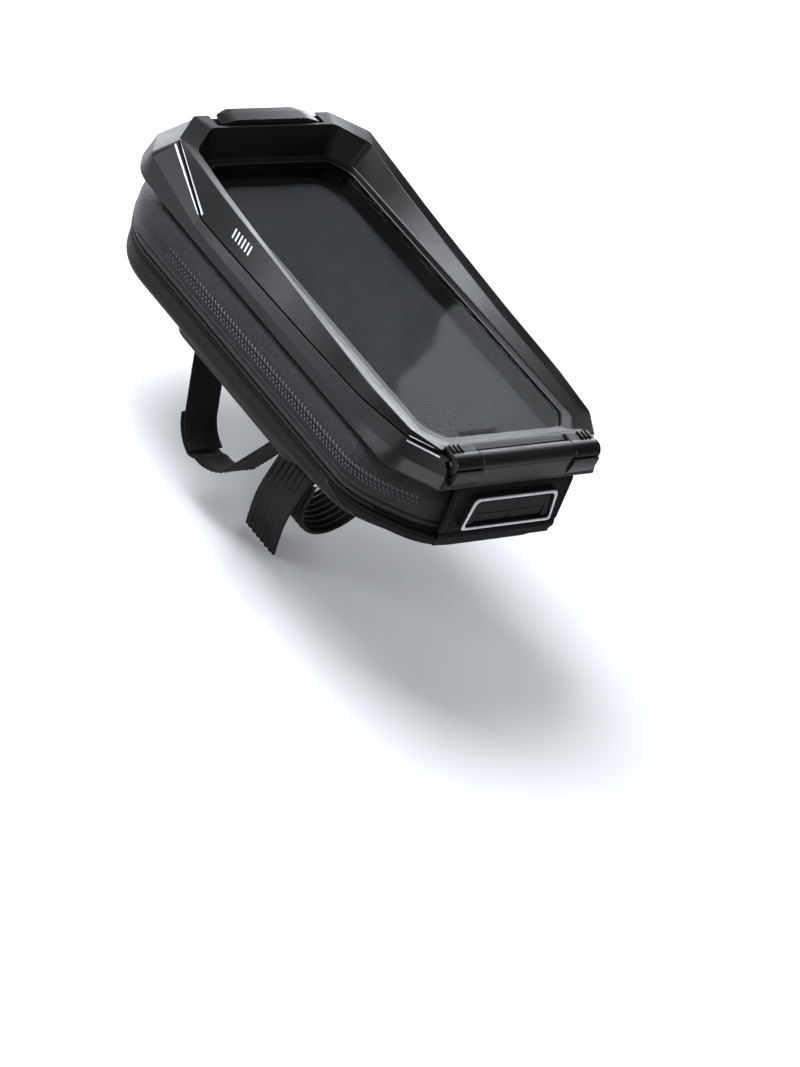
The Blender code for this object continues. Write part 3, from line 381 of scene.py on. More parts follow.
M_TAPE = woven("zip_tape", (0.0090, 0.0090, 0.0095), 0.6, 0.3)
M_TOOTH = paint("zip_coil_nylon", (0.012, 0.012, 0.0126), 0.36)
M_THREAD = paint("thread_black", (0.028, 0.028, 0.030), 0.6)
M_PIPE = rubber("sewn_piping", (0.016, 0.016, 0.017), 0.42)
M_RUBBER = rubber("soft_rubber", (0.0105, 0.0105, 0.0110))
M_STRAPR = rubber("strap_rubber", (0.0155, 0.0155, 0.0165), 0.5, 0.25)
M_FOAM = foam("tray_foam", (0.030, 0.030, 0.032))
M_FILM = clear_film("clear_film")
# silver paint: real trim round the cable port, and painted highlight on the lines either side of the parting line
M_SILVER_TRIM_AND_HIGHLIGHT = paint("silver_trim_and_painted_highlight", (0.62, 0.63, 0.65), 0.28, 0.35)
M_WHITE = paint("pale_print", (0.70, 0.71, 0.73), 0.5)
M_NICKEL = metal("bright_nickel", (0.66, 0.66, 0.68), 0.16)
M_ZINC = metal("black_zinc", (0.11, 0.11, 0.115), 0.34)
M_BOARD = rubber("stiff_board", (0.020, 0.020, 0.021), 0.8, 0.5)


# ================================================================== mesh helpers
def shade(bm, angle=34.0):
    lim = math.radians(angle)
    for f in bm.faces:
        f.smooth = True
    for e in bm.edges:
        e.smooth = not (len(e.link_faces) == 2 and e.calc_face_angle(0.0) > lim)


def make(name, bm, mats, angle=34.0, recalc=True):
    """Millimetre bmesh in row axes to an object in metres."""
    if recalc:
        bmesh.ops.recalc_face_normals(bm, faces=bm.faces[:])
    shade(bm, angle)
    for v in bm.verts:
        v.co *= MM
    me = bpy.data.meshes.new(name)
    bm.to_mesh(me)
    bm.free()
    ob = bpy.data.objects.new(name, me)
    SC.collection.objects.link(ob)
    for m in (mats if isinstance(mats, (list, tuple)) else [mats]):
        me.materials.append(m)
    return ob


def place(ob, body, slot, *nodes):
    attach(ob, body)
    if nodes:
        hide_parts(*nodes)
    return ob


def ring(half, n=12):
    p = [Vector(v[:3]) for v in half]
    t = [v[3] for v in half]
    pts = p + [Vector((-v.x, v.y, v.z)) for v in reversed(p)]
    tt = t + t[::-1]
    out = []
    m = len(pts)
    for i in range(m):
        a, c, b = pts[i - 1], pts[i], pts[(i + 1) % m]
        if tt[i] <= 0:
            out.append(c.copy())
            continue
        pa = c + (a - c) * min(0.49, tt[i] / max((a - c).length, 1e-6))
        pb = c + (b - c) * min(0.49, tt[i] / max((b - c).length, 1e-6))
        k_n = n if tt[i] > 1.6 else 4
        for k in range(k_n + 1):
            s = k / k_n
            out.append(pa * (1 - s) ** 2 + c * 2 * s * (1 - s) + pb * s * s)
    return out


def fixed_ring(half, segs):
    """Like ring, with the number of segments in each corner given, so unlike outlines match."""
    p = [Vector(v[:3]) for v in half]
    t = [v[3] for v in half]
    pts = p + [Vector((-v.x, v.y, v.z)) for v in reversed(p)]
    tt = t + t[::-1]
    ss = list(segs) + list(segs)[::-1]
    out = []
    m = len(pts)
    for i in range(m):
        a, c, b = pts[i - 1], pts[i], pts[(i + 1) % m]
        if ss[i] == 0:
            out.append(c.copy())
            continue
        r = max(tt[i], 0.15)
        pa = c + (a - c) * min(0.49, r / max((a - c).length, 1e-6))
        pb = c + (b - c) * min(0.49, r / max((b - c).length, 1e-6))
        for k in range(ss[i] + 1):
            s = k / ss[i]
            out.append(pa * (1 - s) ** 2 + c * 2 * s * (1 - s) + pb * s * s)
    return out


def inset(half, d, dz=0.0, z=None):
    p = [Vector((v[0], v[1])) for v in half]
    pts = p + [Vector((-v.x, v.y)) for v in reversed(p)]
    m = len(pts)
    res = []
    for i in range(len(p)):
        a, c, b = pts[i - 1], pts[i], pts[(i + 1) % m]
        u = (c - a).normalized()
        w = (b - c).normalized()
        k = Vector((-u.y, u.x)) + Vector((-w.y, w.x))
        k = k / max(k.dot(k) / 2.0, 1e-6)
        q = c + k * d
        t = half[i][3]
        if t > 0:
            t = max(0.5, t - 0.41 * d)
        res.append((q.x, q.y, half[i][2] + dz if z is None else z, t))
    return res


def densify(rings, step):
    n = len(rings[0])
    ks = []
    for i in range(n):
        j = (i + 1) % n
        cross = rings[0][i].x * rings[0][j].x < 0          # the two spans across the middle stay whole
        ks.append(1 if cross else max(1, math.ceil(max((r[j] - r[i]).length for r in rings) / step)))
    out = []
    for r in rings:
        q = []
        for i in range(n):
            j = (i + 1) % n
            for k in range(ks[i]):
                q.append(r[i].lerp(r[j], k / ks[i]))
        out.append(q)
    return out


def fillet(rings, radii, closed=True, m=4):
    """Round the crease that each outline makes in the surface."""
    out, tags = [], []
    n = len(rings)
    for i, r in enumerate(rings):
        if radii[i] <= 0 or (not closed and i in (0, n - 1)):
            out.append(r)
            tags.append(i)
            continue
        pr, nx = rings[i - 1], rings[(i + 1) % n]
        for k in range(m + 1):
            s = k / m
            q = []
            for a, c, b in zip(pr, r, nx):
                la, lb = (a - c).length, (b - c).length
                pa = c + (a - c) * min(0.45, radii[i] / max(la, 1e-6))
                pb = c + (b - c) * min(0.45, radii[i] / max(lb, 1e-6))
                q.append(pa * (1 - s) ** 2 + c * 2 * s * (1 - s) + pb * s * s)
            out.append(q)
            tags.append(i)
    return out, tags


def spline(pts, m):
    """Catmull-Rom through 2-D or 3-D points, m steps a span."""
    P = [Vector(p) for p in pts]
    out = []
    for i in range(len(P) - 1):
        p0 = P[i - 1] if i else P[0] * 2 - P[1]
        p1, p2 = P[i], P[i + 1]
        p3 = P[i + 2] if i + 2 < len(P) else P[-1] * 2 - P[-2]
        for k in range(m):
            t = k / m
            out.append(0.5 * ((2 * p1) + (p2 - p0) * t + (2 * p0 - 5 * p1 + 4 * p2 - p3) * t * t
                              + (3 * p1 - p0 - 3 * p2 + p3) * t ** 3))
    out.append(P[-1])
    return out


def skin(rings, closed=False, cap=(False, False), mat_of=None, uv=True):
    """Surface through outlines that have the same number of points; UV map 'mm' is arc length and height."""
    bm = bmesh.new()
    vs = [[bm.verts.new(p) for p in r] for r in rings]
    n = len(vs[0])
    lay = bm.loops.layers.uv.new("mm") if uv else None
    ref = rings[len(rings) // 3]
    us = [0.0]
    for i in range(n):
        us.append(us[-1] + (ref[(i + 1) % n] - ref[i]).length)
    wv = [0.0]
    for a, b in zip(rings[:-1], rings[1:]):
        wv.append(wv[-1] + sum((b[i] - a[i]).length for i in range(0, n, 7)) / len(range(0, n, 7)))
    wv.append(wv[-1] + 1.0)
    m = len(vs)
    for k in range(m if closed else m - 1):
        a, b = vs[k], vs[(k + 1) % m]
        for i in range(n):
            j = (i + 1) % n
            f = bm.faces.new((a[i], a[j], b[j], b[i]))
            if mat_of is not None:
                f.material_index = mat_of(k, i)
            if lay is not None:
                for lp, c in zip(f.loops, ((us[i], wv[k]), (us[i + 1], wv[k]), (us[i + 1], wv[k + 1]), (us[i], wv[k + 1]))):
                    lp[lay].uv = c
    for on, r in zip(cap, (vs[0], vs[-1])):
        if on:
            for i in range(n // 2 - 1):
                f = bm.faces.new((r[i], r[i + 1], r[n - 2 - i], r[n - 1 - i]))
                if mat_of is not None:
                    f.material_index = mat_of(-1, i)
                if lay is not None:
                    for lp in f.loops:
                        lp[lay].uv = (lp.vert.co.x, lp.vert.co.y)
    return bm


def apply_mods(ob):
    dg = bpy.context.evaluated_depsgraph_get()
    dg.update()
    me = bpy.data.meshes.new_from_object(ob.evaluated_get(dg), preserve_all_data_layers=True, depsgraph=dg)
    ob.modifiers.clear()
    old = ob.data
    ob.data = me
    bpy.data.meshes.remove(old)
    return ob


def resmooth(ob, angle=34.0):
    bm = bmesh.new()
    bm.from_mesh(ob.data)
    shade(bm, angle)
    bm.to_mesh(ob.data)
    bm.free()
    return ob


def weigh(ob):
    """Flat faces stay flat between rounded edges."""
    w = ob.modifiers.new("normals", 'WEIGHTED_NORMAL')
    w.keep_sharp = True
    w.weight = 90
    return apply_mods(ob)


def boxy(size, loc, bev=0.3, segs=2, rot=None):
    bm = bmesh.new()
    bmesh.ops.create_cube(bm, size=1.0)
    for v in bm.verts:
        v.co = Vector((v.co.x * size[0], v.co.y * size[1], v.co.z * size[2]))
    if bev > 0:
        bmesh.ops.bevel(bm, geom=bm.edges[:], offset=bev, segments=segs, profile=0.5, affect='EDGES', clamp_overlap=True)
    mt = Matrix.Translation(Vector(loc))
    if rot is not None:
        mt = mt @ rot.to_4x4()
    bmesh.ops.transform(bm, matrix=mt, verts=bm.verts[:])
    return bm


def lathe(profile, loc, axis='Z', steps=32):
    """Turned solid from (radius, height) pairs, bottom to top."""
    bm = bmesh.new()
    rows = []
    for r, h in profile:
        if r <= 1e-6:
            rows.append([bm.verts.new((0, 0, h))])
        else:
            rows.append([bm.verts.new((r * math.cos(2 * math.pi * k / steps), r * math.sin(2 * math.pi * k / steps), h))
                         for k in range(steps)])
    for a, b in zip(rows[:-1], rows[1:]):
        for k in range(steps):
            j = (k + 1) % steps
            if len(a) == 1 and len(b) == 1:
                continue
            if len(a) == 1:
                bm.faces.new((a[0], b[j], b[k]))
            elif len(b) == 1:
                bm.faces.new((a[k], a[j], b[0]))
            else:
                bm.faces.new((a[k], a[j], b[j], b[k]))
    rot = {'X': Matrix.Rotation(math.radians(90), 3, 'Y'), 'Y': Matrix.Rotation(math.radians(-90), 3, 'X'),
           'Z': Matrix.Identity(3)}[axis] if isinstance(axis, str) else axis
    bmesh.ops.transform(bm, matrix=Matrix.Translation(Vector(loc)) @ rot.to_4x4(), verts=bm.verts[:])
    return bm


def prism(poly, x0, x1):
    """Solid between two X stations from a (y, z) outline."""
    bm = bmesh.new()
    a = [bm.verts.new((x0, y, z)) for y, z in poly]
    b = [bm.verts.new((x1, y, z)) for y, z in poly]
    n = len(poly)
    for k in range(n):
        j = (k + 1) % n
        bm.faces.new((a[k], a[j], b[j], b[k]))
    bm.faces.new(a[::-1])
    bm.faces.new(b)
    bmesh.ops.recalc_face_normals(bm, faces=bm.faces[:])
    return bm


def merge(bms):
    """Several closed bmeshes to one."""
    out = bmesh.new()
    for b in bms:
        me = bpy.data.meshes.new("tmp")
        b.to_mesh(me)
        b.free()
        out.from_mesh(me)
        bpy.data.meshes.remove(me)
    return out


def boolean(ob, tool_bm, op='DIFFERENCE'):
    t = make("tool", tool_bm, M_BASE)
    b = ob.modifiers.new("b", 'BOOLEAN')
    b.operation = op
    b.solver = 'EXACT'
    b.object = t
    apply_mods(ob)
    me = t.data
    bpy.data.objects.remove(t, do_unlink=True)
    bpy.data.meshes.remove(me)
    return ob


def refined(node_name, mat, bev=0.18, segs=2, angle=30.0, smooth=34.0, flat=1.2, name=None):
    """A CAD node's solid with its flat faces joined again and its edges softened."""
    src = NODES[node_name]
    bm = bmesh.new()
    bm.from_mesh(src.data)
    bmesh.ops.remove_doubles(bm, verts=bm.verts[:], dist=2e-6)
    bmesh.ops.dissolve_limit(bm, angle_limit=math.radians(flat), verts=bm.verts[:], edges=bm.edges[:])
    for f in bm.faces:
        f.material_index = 0
    me = bpy.data.meshes.new(name or node_name + "_fine")
    bm.to_mesh(me)
    bm.free()
    ob = bpy.data.objects.new(name or node_name + "_fine", me)
    SC.collection.objects.link(ob)
    me.materials.append(mat)
    if bev > 0:
        b = ob.modifiers.new("soften", 'BEVEL')
        b.width = bev * MM
        b.segments = segs
        b.limit_method = 'ANGLE'
        b.angle_limit = math.radians(angle)
        b.use_clamp_overlap = True
        b.harden_normals = False
        apply_mods(ob)
    resmooth(ob, smooth)
    return weigh(ob)


def bvh_of(ob):
    return BVHTree.FromPolygons([v.co.copy() for v in ob.data.vertices], [tuple(p.vertices) for p in ob.data.polygons])


def on_surface(bvh, pts, direction, lift=0.0):
    """Cast the points along a direction; gives (point, normal) in millimetres."""
    out = []
    d = Vector(direction).normalized()
    for p in pts:
        hit = bvh.ray_cast(Vector(p) * MM, d)
        if hit[0] is None:
            continue
        n = hit[1] if hit[1].dot(d) < 0 else -hit[1]
        out.append((hit[0] / MM + n * lift, n))
    return out


def tube(pts, r, sides=8, closed=False):
    """Round cord through points."""
    bm = bmesh.new()
    rows = []
    m = len(pts)
    up = Vector((0.13, 0.21, 0.97)).normalized()
    for i, p in enumerate(pts):
        a = pts[i - 1] if (i or closed) else p
        b = pts[(i + 1) % m] if (i < m - 1 or closed) else p
        d = (Vector(b) - Vector(a)).normalized()
        s = d.cross(up).normalized()
        t = s.cross(d).normalized()
        rows.append([bm.verts.new(Vector(p) + (s * math.cos(2 * math.pi * k / sides) + t * math.sin(2 * math.pi * k / sides)) * r)
                     for k in range(sides)])
    prs = list(zip(rows, rows[1:] + rows[:1])) if closed else list(zip(rows[:-1], rows[1:]))
    for a, b in prs:
        for k in range(sides):
            j = (k + 1) % sides
            bm.faces.new((a[k], a[j], b[j], b[k]))
    if not closed:
        bm.faces.new(rows[0][::-1])
        bm.faces.new(rows[-1])
    return bm


def stitches(line, pitch=2.6, length=1.9, r=0.22):
    """Thread stitches lying on a surface; line is (point, normal) pairs in millimetres."""
    bms = []
    acc, nxt = 0.0, 0.4
    for (p0, n0), (p1, n1) in zip(line[:-1], line[1:]):
        L = (p1 - p0).length
        while nxt < acc + L:
            s = (nxt - acc) / max(L, 1e-6)
            c = p0.lerp(p1, s)
            n = n0.lerp(n1, s).normalized()
            d = (p1 - p0).normalized()
            c0, c1 = c - d * length / 2, c + d * length / 2
            bms.append(tube([c0 - n * 0.12, c0.lerp(c1, 0.2) + n * r * 0.5, c0.lerp(c1, 0.5) + n * r * 0.75,
                             c0.lerp(c1, 0.8) + n * r * 0.5, c1 - n * 0.12], r, 6))
            nxt += pitch
        acc += L
    return merge(bms)


# ================================================================== outlines (right-hand halves)
S_Y = (-53.0, -17.0, 20.0, 43.0)


def sides(x, z):
    return [(x, y, z, 0) for y in S_Y]


Y_NEAR, Y_FAR, BAG_W = -99.0, 105.0, 60.6
LID_OUT = ([(34.0, Y_NEAR, 0, 14), (BAG_W, -74.5, 0, 14)] + sides(BAG_W, 0)
           + [(BAG_W, 81.0, 0, 14), (37.0, Y_FAR, 0, 14)])
SHELL_OUT = ([(33.5, -99.9, 0, 14), (58.9, -75.0, 0, 14)] + sides(58.9, 0)
             + [(58.9, 80.0, 0, 14), (36.0, 103.2, 0, 14)])
SEG8 = (14, 14, 0, 0, 0, 0, 14, 14)


def lid_ring(d, z):
    lean = max(0.0, (z - 24.0)) * 0.16
    h = inset([(x, y, z, t) for x, y, _, t in LID_OUT], d)
    return fixed_ring([(x, y + lean if y < -70 else y, zz, t) for x, y, zz, t in h], SEG8)


def floor_z(y):
    t = max(0.0, min(1.0, (-5.0 - y) / 92.0))
    return 7.0 + 6.5 * t ** 1.8


def shell_ring(d, f, lift=0.0, z=None):
    h = inset([(x, y, 0, t) for x, y, _, t in SHELL_OUT], d)
    pts = fixed_ring(h, SEG8)
    for p in pts:
        p.z = z if z is not None else floor_z(p.y) + lift + f
    return pts


# ================================================================== EVA lid
WIN_OPEN = ([(30.0, -80.0, 0, 4), (38.5, -71.5, 0, 4)] + sides(38.5, 0) + [(38.5, 71.5, 0, 4), (30.0, 80.0, 0, 4)])


def win_ring(z):
    return fixed_ring([(x, y, z, t) for x, y, _, t in WIN_OPEN], SEG8)


OUT_PROF = [(1.5, 23.45), (0.75, 23.55), (0.15, 23.95), (-0.15, 24.7), (0.0, 25.5), (0.42, 25.95), (0.38, 26.25),
            (-0.20, 26.7), (-0.42, 28.0), (-0.50, 29.2), (-0.70, 30.0), (-0.74, 32.0), (-0.62, 34.2), (-0.20, 35.9),
            (0.40, 37.2), (1.15, 38.8), (2.1, 40.2), (3.1, 41.3), (4.4, 42.2), (5.8, 42.75), (7.5, 43.0)]
prof = spline(OUT_PROF, 3)
rs = [lid_ring(p[0], p[1]) for p in prof]
n_out = len(rs)
rs += [win_ring(43.0), win_ring(41.0)]
IN_PROF = [(9.0, 40.9), (5.6, 40.0), (3.4, 37.6), (2.1, 34.0), (1.7, 29.0), (2.0, 24.6), (2.0, 23.6)]
rs += [lid_ring(p[0], p[1]) for p in spline(IN_PROF, 2)]
rs = densify(rs, 3.0)
bm = skin(rs, closed=True, mat_of=lambda k, i: 0 if k < n_out - 1 or k == len(rs) - 1 else 1)
lid = make("lid_leather_shell", bm, [M_LEATHER, M_LINING], 40)
# room for the cable port
boolean(lid, boxy((34.0, 16.0, 5.3), (0, -99.5, 31.55), 0))
resmooth(lid, 40)
place(lid, "lid", "eva_leather", "lid_shell")

# ================================================================== lower shell
rs = []
for k in range(9):
    a = math.radians(90 * k / 8)
    rs.append(shell_ring(6.5 * (1 - math.sin(a)) + 0.9, 6.5 * (1 - math.cos(a))))
n_edge = len(rs)
top = [(0.55, 15.2), (0.1, 17.2), (0.0, 18.2), (0.25, 18.55), (0.25, 18.75), (-0.25, 19.1), (-0.3, 19.6), (0.1, 20.15), (0.8, 20.35),
       (1.7, 20.3)]
rs += [shell_ring(p[0], 0, z=p[1]) for p in spline(top, 3)]
n_side = len(rs)
for k in range(8, -1, -1):
    a = math.radians(90 * k / 8)
    rs.append(shell_ring(4.5 * (1 - math.sin(a)) + 0.9 + 2.2, 4.5 * (1 - math.cos(a)), lift=1.8))
rs = densify(rs, 3.0)
bm = skin(rs, cap=(True, True), mat_of=lambda k, i: 0 if k < n_side - 1 else 1)
for f in bm.faces:
    c = f.calc_center_median()
    if f.material_index == 0 and len(f.verts) == 4 and abs(f.normal.z) > 0.99 and c.z > 8.6 + (floor_z(c.y) - 7.0):
        f.material_index = 1
shell = make("lower_twill_shell", bm, [M_TWILL, M_LINING], 40)
place(shell, "bag", "weave_fabric", "lower_shell")
SHELL_BVH = bvh_of(shell)
LID_BVH = bvh_of(lid)

# ================================================================== base frame and visor
T_OUT = [(41.2, -96.8, 49.6, 0), (41.9, -93.2, 56.3, 0), (52.3, -78.3, 55.0, 2), (57.0, -53.0, 53.8, 0),
         (57.0, -17.0, 52.4, 0), (57.0, 20.0, 51.6, 0), (57.0, 43.0, 51.1, 0), (57.0, 54.0, 51.0, 1.0),
         (54.0, 85.5, 65.0, 1.2), (38.0, 97.2, 66.2, 1.2)]
T_IN = [(41.5, -94.4, 49.6, 0), (42.2, -90.2, 56.3, 0), (49.9, -76.9, 55.0, 2), (54.4, -53.0, 53.8, 0),
        (54.4, -17.0, 52.4, 0), (54.4, 20.0, 51.6, 0), (54.4, 43.0, 51.1, 0), (54.4, 53.7, 51.0, 1.0),
        (51.5, 84.2, 65.0, 1.2), (36.8, 94.7, 66.2, 1.2)]
B_MID = [(42.0, -97.6, 48.0, 0), (43.2, -96.9, 50.0, 0), (55.8, -80.6, 49.4, 4), (58.7, -53.0, 47.8, 0),
         (58.7, -17.0, 47.6, 0), (58.7, 20.0, 47.6, 0), (58.7, 43.0, 47.8, 0), (58.7, 55.0, 48.4, 1.0),
         (58.4, 90.8, 54.4, 2.5), (47.4, 101.6, 56.0, 2.5)]
B_LOW = [(42.6, -98.4, 45.0, 0), (44.2, -98.1, 44.9, 0), (59.4, -80.5, 44.2, 7), (59.4, -53.0, 43.9, 0),
         (59.4, -17.0, 43.9, 0), (59.4, 20.0, 43.9, 0), (59.4, 43.0, 43.9, 0), (59.4, 55.0, 43.9, 1.0),
         (59.2, 91.5, 44.6, 7), (46.5, 105.0, 45.4, 7)]
F_IN = [(30.0, -85.2, 46.0, 0), (36.0, -85.2, 46.0, 0), (44.2, -77.0, 46.0, 4), (44.2, -53.0, 46.0, 0),
        (44.2, -17.0, 46.0, 0), (44.2, 20.0, 46.0, 0), (44.2, 43.0, 46.0, 0), (44.2, 54.0, 46.0, 1.0),
        (44.2, 77.0, 46.0, 4), (36.0, 85.2, 46.0, 4)]
F_WALL = [(39.0, -93.6, 46.4, 0), (40.5, -92.6, 46.4, 0), (52.0, -77.6, 46.4, 4), (55.4, -53.0, 46.4, 0),
          (55.4, -17.0, 46.4, 0), (55.4, 20.0, 46.4, 0), (55.4, 43.0, 46.4, 0), (55.4, 54.0, 46.4, 1.0),
          (55.2, 88.8, 46.4, 5), (44.2, 99.6, 46.4, 5)]
SEG10 = (3, 3, 8, 3, 3, 3, 3, 4, 6, 6)


def soft(half):
    """Give the stations along a side a generous rounding so that the rim reads as one curve."""
    out = []
    for x, y, z, t in half:
        out.append((x, y, z, t if t > 0 else (5.0 if -54 < y < 44 else 0.3)))
    return out


def lifted(half, dz, d=0.0):
    h = inset(half, d) if d else half
    return fixed_ring(soft([(x, y, z + dz, t) for x, y, z, t in h]), SEG10)


rB_low, rB_mid, rT_out, rT_in = lifted(B_LOW, 0.0), lifted(B_MID, 0.0), lifted(T_OUT, 0.0), lifted(T_IN, 0.0)
rs = [lifted(B_LOW, -0.6, 0.6), rB_low, rB_mid, rT_out, rT_in, lifted(F_WALL, 0.0), lifted(F_IN, 0.0), lifted(F_IN, -2.7)]
rs, tags = fillet(rs, [0, 0.5, 0.35, 0.3, 0.3, 0.8, 0.4, 0])
rs = densify(rs, 6.0)
mo = lambda k, i: 1 if tags[k] >= 5 else 0
bm = skin(rs, closed=True, mat_of=mo, uv=False)
base = make("base_frame_shell", bm, [M_BASE, M_INNER], 30)
boolean(base, boxy((52.4, 6.0, 8.5), (0, -95.4, 50.2), 0.5), 'UNION')
boolean(base, lathe([(0, -26.2), (3.9, -26.2), (4.2, -25.9), (4.2, 25.9), (3.9, 26.2), (0, 26.2)], (0, -94.0, 54.4), 'X', 56), 'UNION')
# troughs under the visor's knuckles, concentric with the pins
trough = [(-94.0 + 4.55 * math.cos(math.radians(a)), 54.4 + 4.55 * math.sin(math.radians(a)))
          for a in (182, 194, 206, 218, 230, 242, 254, 266)]
trough += [(-94.3, 47.2), (-98.45, 46.9), (-99.15, 49.0), (-99.35, 51.5), (-99.25, 53.4), (-98.95, 54.25)]
for s in (-1, 1):
    boolean(base, prism(trough, s * 26.0, s * 40.4), 'UNION')
boolean(base, lathe([(0, -43), (1.4, -43), (1.4, 43), (0, 43)], (0, -94.0, 54.4), 'X', 24))
resmooth(base, 30)
weigh(base)
place(base, "lid", "hard_plastic", "base_frame")

H_LOW = [(41.3, -89.2, 53.4, 0), (42.3, -89.2, 56.75, 0), (44.4, -89.2, 56.75, 0.6), (52.3, -78.3, 55.45, 2),
         (57.0, -53.0, 54.25, 0), (57.0, -17.0, 52.85, 0), (57.0, 20.0, 52.05, 0), (57.0, 43.0, 51.55, 0),
         (57.0, 54.0, 51.45, 1.0), (54.0, 85.5, 65.45, 1.2), (38.0, 97.2, 66.65, 1.2)]
H_RIM = [(40.9, -89.0, 57.2, 0), (41.9, -89.0, 57.3, 0), (43.7, -88.8, 57.6, 0.6), (51.0, -77.6, 58.3, 1.5),
         (53.4, -53.0, 58.9, 0), (53.0, -17.0, 60.3, 0), (53.0, 20.0, 62.3, 0), (53.4, 43.0, 63.5, 0),
         (53.7, 54.0, 64.3, 1.0), (53.5, 85.1, 66.8, 1.2), (37.7, 96.7, 67.9, 1.2)]
H_INN = [(36.0, -86.6, 57.1, 0), (38.4, -86.6, 57.1, 0), (40.6, -85.8, 57.2, 0.8), (48.4, -75.4, 57.55, 1.5),
         (49.0, -53.0, 58.05, 0), (49.0, -17.0, 58.8, 0), (49.0, 20.0, 60.9, 0), (49.0, 43.0, 62.7, 0),
         (49.0, 54.0, 63.4, 0.8), (49.0, 78.8, 66.1, 2.5), (35.0, 88.9, 68.3, 2.5)]
H_BEZ = [(32.0, -84.2, 55.9, 0), (33.5, -84.2, 55.9, 0), (35.5, -84.2, 55.9, 1.5), (43.2, -76.4, 55.7, 2),
         (43.2, -53.0, 55.6, 0), (43.2, -17.0, 55.6, 0), (43.2, 20.0, 55.6, 0), (43.2, 43.0, 55.6, 0),
         (43.2, 54.0, 55.6, 1.0), (43.2, 76.4, 55.6, 2), (33.2, 84.0, 55.6, 2)]
H_AP = [(29.0, -81.0, 55.3, 0), (30.6, -81.0, 55.3, 0), (32.2, -81.0, 55.3, 3.5), (39.6, -73.4, 55.3, 3.5),
        (39.6, -53.0, 55.3, 0), (39.6, -17.0, 55.3, 0), (39.6, 20.0, 55.3, 0), (39.6, 43.0, 55.3, 0),
        (39.6, 54.0, 55.3, 1.0), (39.6, 73.4, 55.3, 3.5), (32.2, 81.0, 55.3, 3.5)]
SEG11 = (2, 2, 4, 8, 3, 3, 3, 3, 4, 8, 8)


def hring(half):
    return fixed_ring(soft(half), SEG11)


def under(half, d, dz):
    return [(x, y, z + dz, t) for x, y, z, t in inset(half, d)]


U_AP = [(x, y, 54.95, t) for x, y, _, t in H_AP]
U_BEZ = [(x, y, 54.95, t) for x, y, _, t in inset(H_BEZ, -1.2)]
U_INN = [(x, y, max(z, 55.3), t) for x, y, z, t in under(H_INN, -0.7, -1.6)]
U_RIM = [(x, y, max(z, lo[2] + 0.15, 55.4), t) for (x, y, z, t), lo in zip(under(H_RIM, 0.8, -1.6), H_LOW)]
U_LOW = [(x, y, z + (0.85 if y > 78 else 0.0), t) for x, y, z, t in under(H_LOW, 1.6, 0.0)]
H_LOWV = [(x, y, z + (0.85 if y > 80 else 0.0), t) for x, y, z, t in H_LOW]
H_LOWC = [(x, y, z + 0.4, t) for x, y, z, t in H_LOWV]
rH_lowc, rH_rim, rH_inn, rH_bez = hring(H_LOWC), hring(H_RIM), hring(H_INN), hring(H_BEZ)
rs = [hring(under(H_LOWV, 0.4, 0.0)), rH_lowc, rH_rim, rH_inn, rH_bez,
      hring([(x, y, z + 0.2, t) for x, y, z, t in inset(H_AP, -0.5)]),
      hring([(x, y, z - 0.1, t) for x, y, z, t in H_AP]), hring(U_AP), hring(U_BEZ), hring(U_INN), hring(U_RIM), hring(U_LOW)]
rs, tags = fillet(rs, [0, 0.15, 0.35, 0.35, 0.7, 0.15, 0.0, 0, 0, 0, 0, 0])
rs = densify(rs, 6.0)
bm = skin(rs, closed=True, mat_of=lambda k, i: 1 if 3 <= tags[k] < 7 and not (tags[k] == 3 and k < tags.index(3) + 4) else 0, uv=False)
hood = make("visor_hood_shell", bm, [M_HOOD, M_INNER], 28)
for s in (-1, 1):
    xc = s * (26.5 + 41.0) / 2
    ln = 41.0 - 26.5
    boolean(hood, boxy((ln, 6.6, 4.6), (xc, -90.9, 55.9), 0.5), 'UNION')
    boolean(hood, lathe([(0, -ln / 2), (3.9, -ln / 2), (4.2, -ln / 2 + 0.3), (4.2, ln / 2 - 0.3), (3.9, ln / 2), (0, ln / 2)],
                        (xc, -94.0, 54.4), 'X', 56), 'UNION')
boolean(hood, prism([(-88.2, 57.45), (-90.45, 57.35), (-90.1, 56.7), (-88.2, 55.8)], -27.5, 27.5), 'UNION')
boolean(hood, lathe([(0, -43), (1.4, -43), (1.4, 43), (0, 43)], (0, -94.0, 54.4), 'X', 24))
for y, t in ((-50.0, 57.6), (0.0, 58.45), (50.0, 62.0)):
    for s in (-1, 1):
        boolean(hood, lathe([(0, 54.15), (1.9, 54.15), (1.9, t), (0, t)], (s * 50.2, y, 0), 'Z', 23), 'UNION')
        boolean(hood, lathe([(0, 52.9), (1.15, 52.9), (1.15, 56.9), (0, 56.9)], (s * 50.2, y, 0), 'Z', 15))
boolean(hood, boxy((60.0, 12.6, 4.0), (0, 96.6, 68.95), 0))
boolean(hood, boxy((18.0, 7.2, 8.0), (0, 93.7, 66.0), 0))
resmooth(hood, 28)
weigh(hood)
place(hood, "visor", "hard_plastic", "visor_hood")

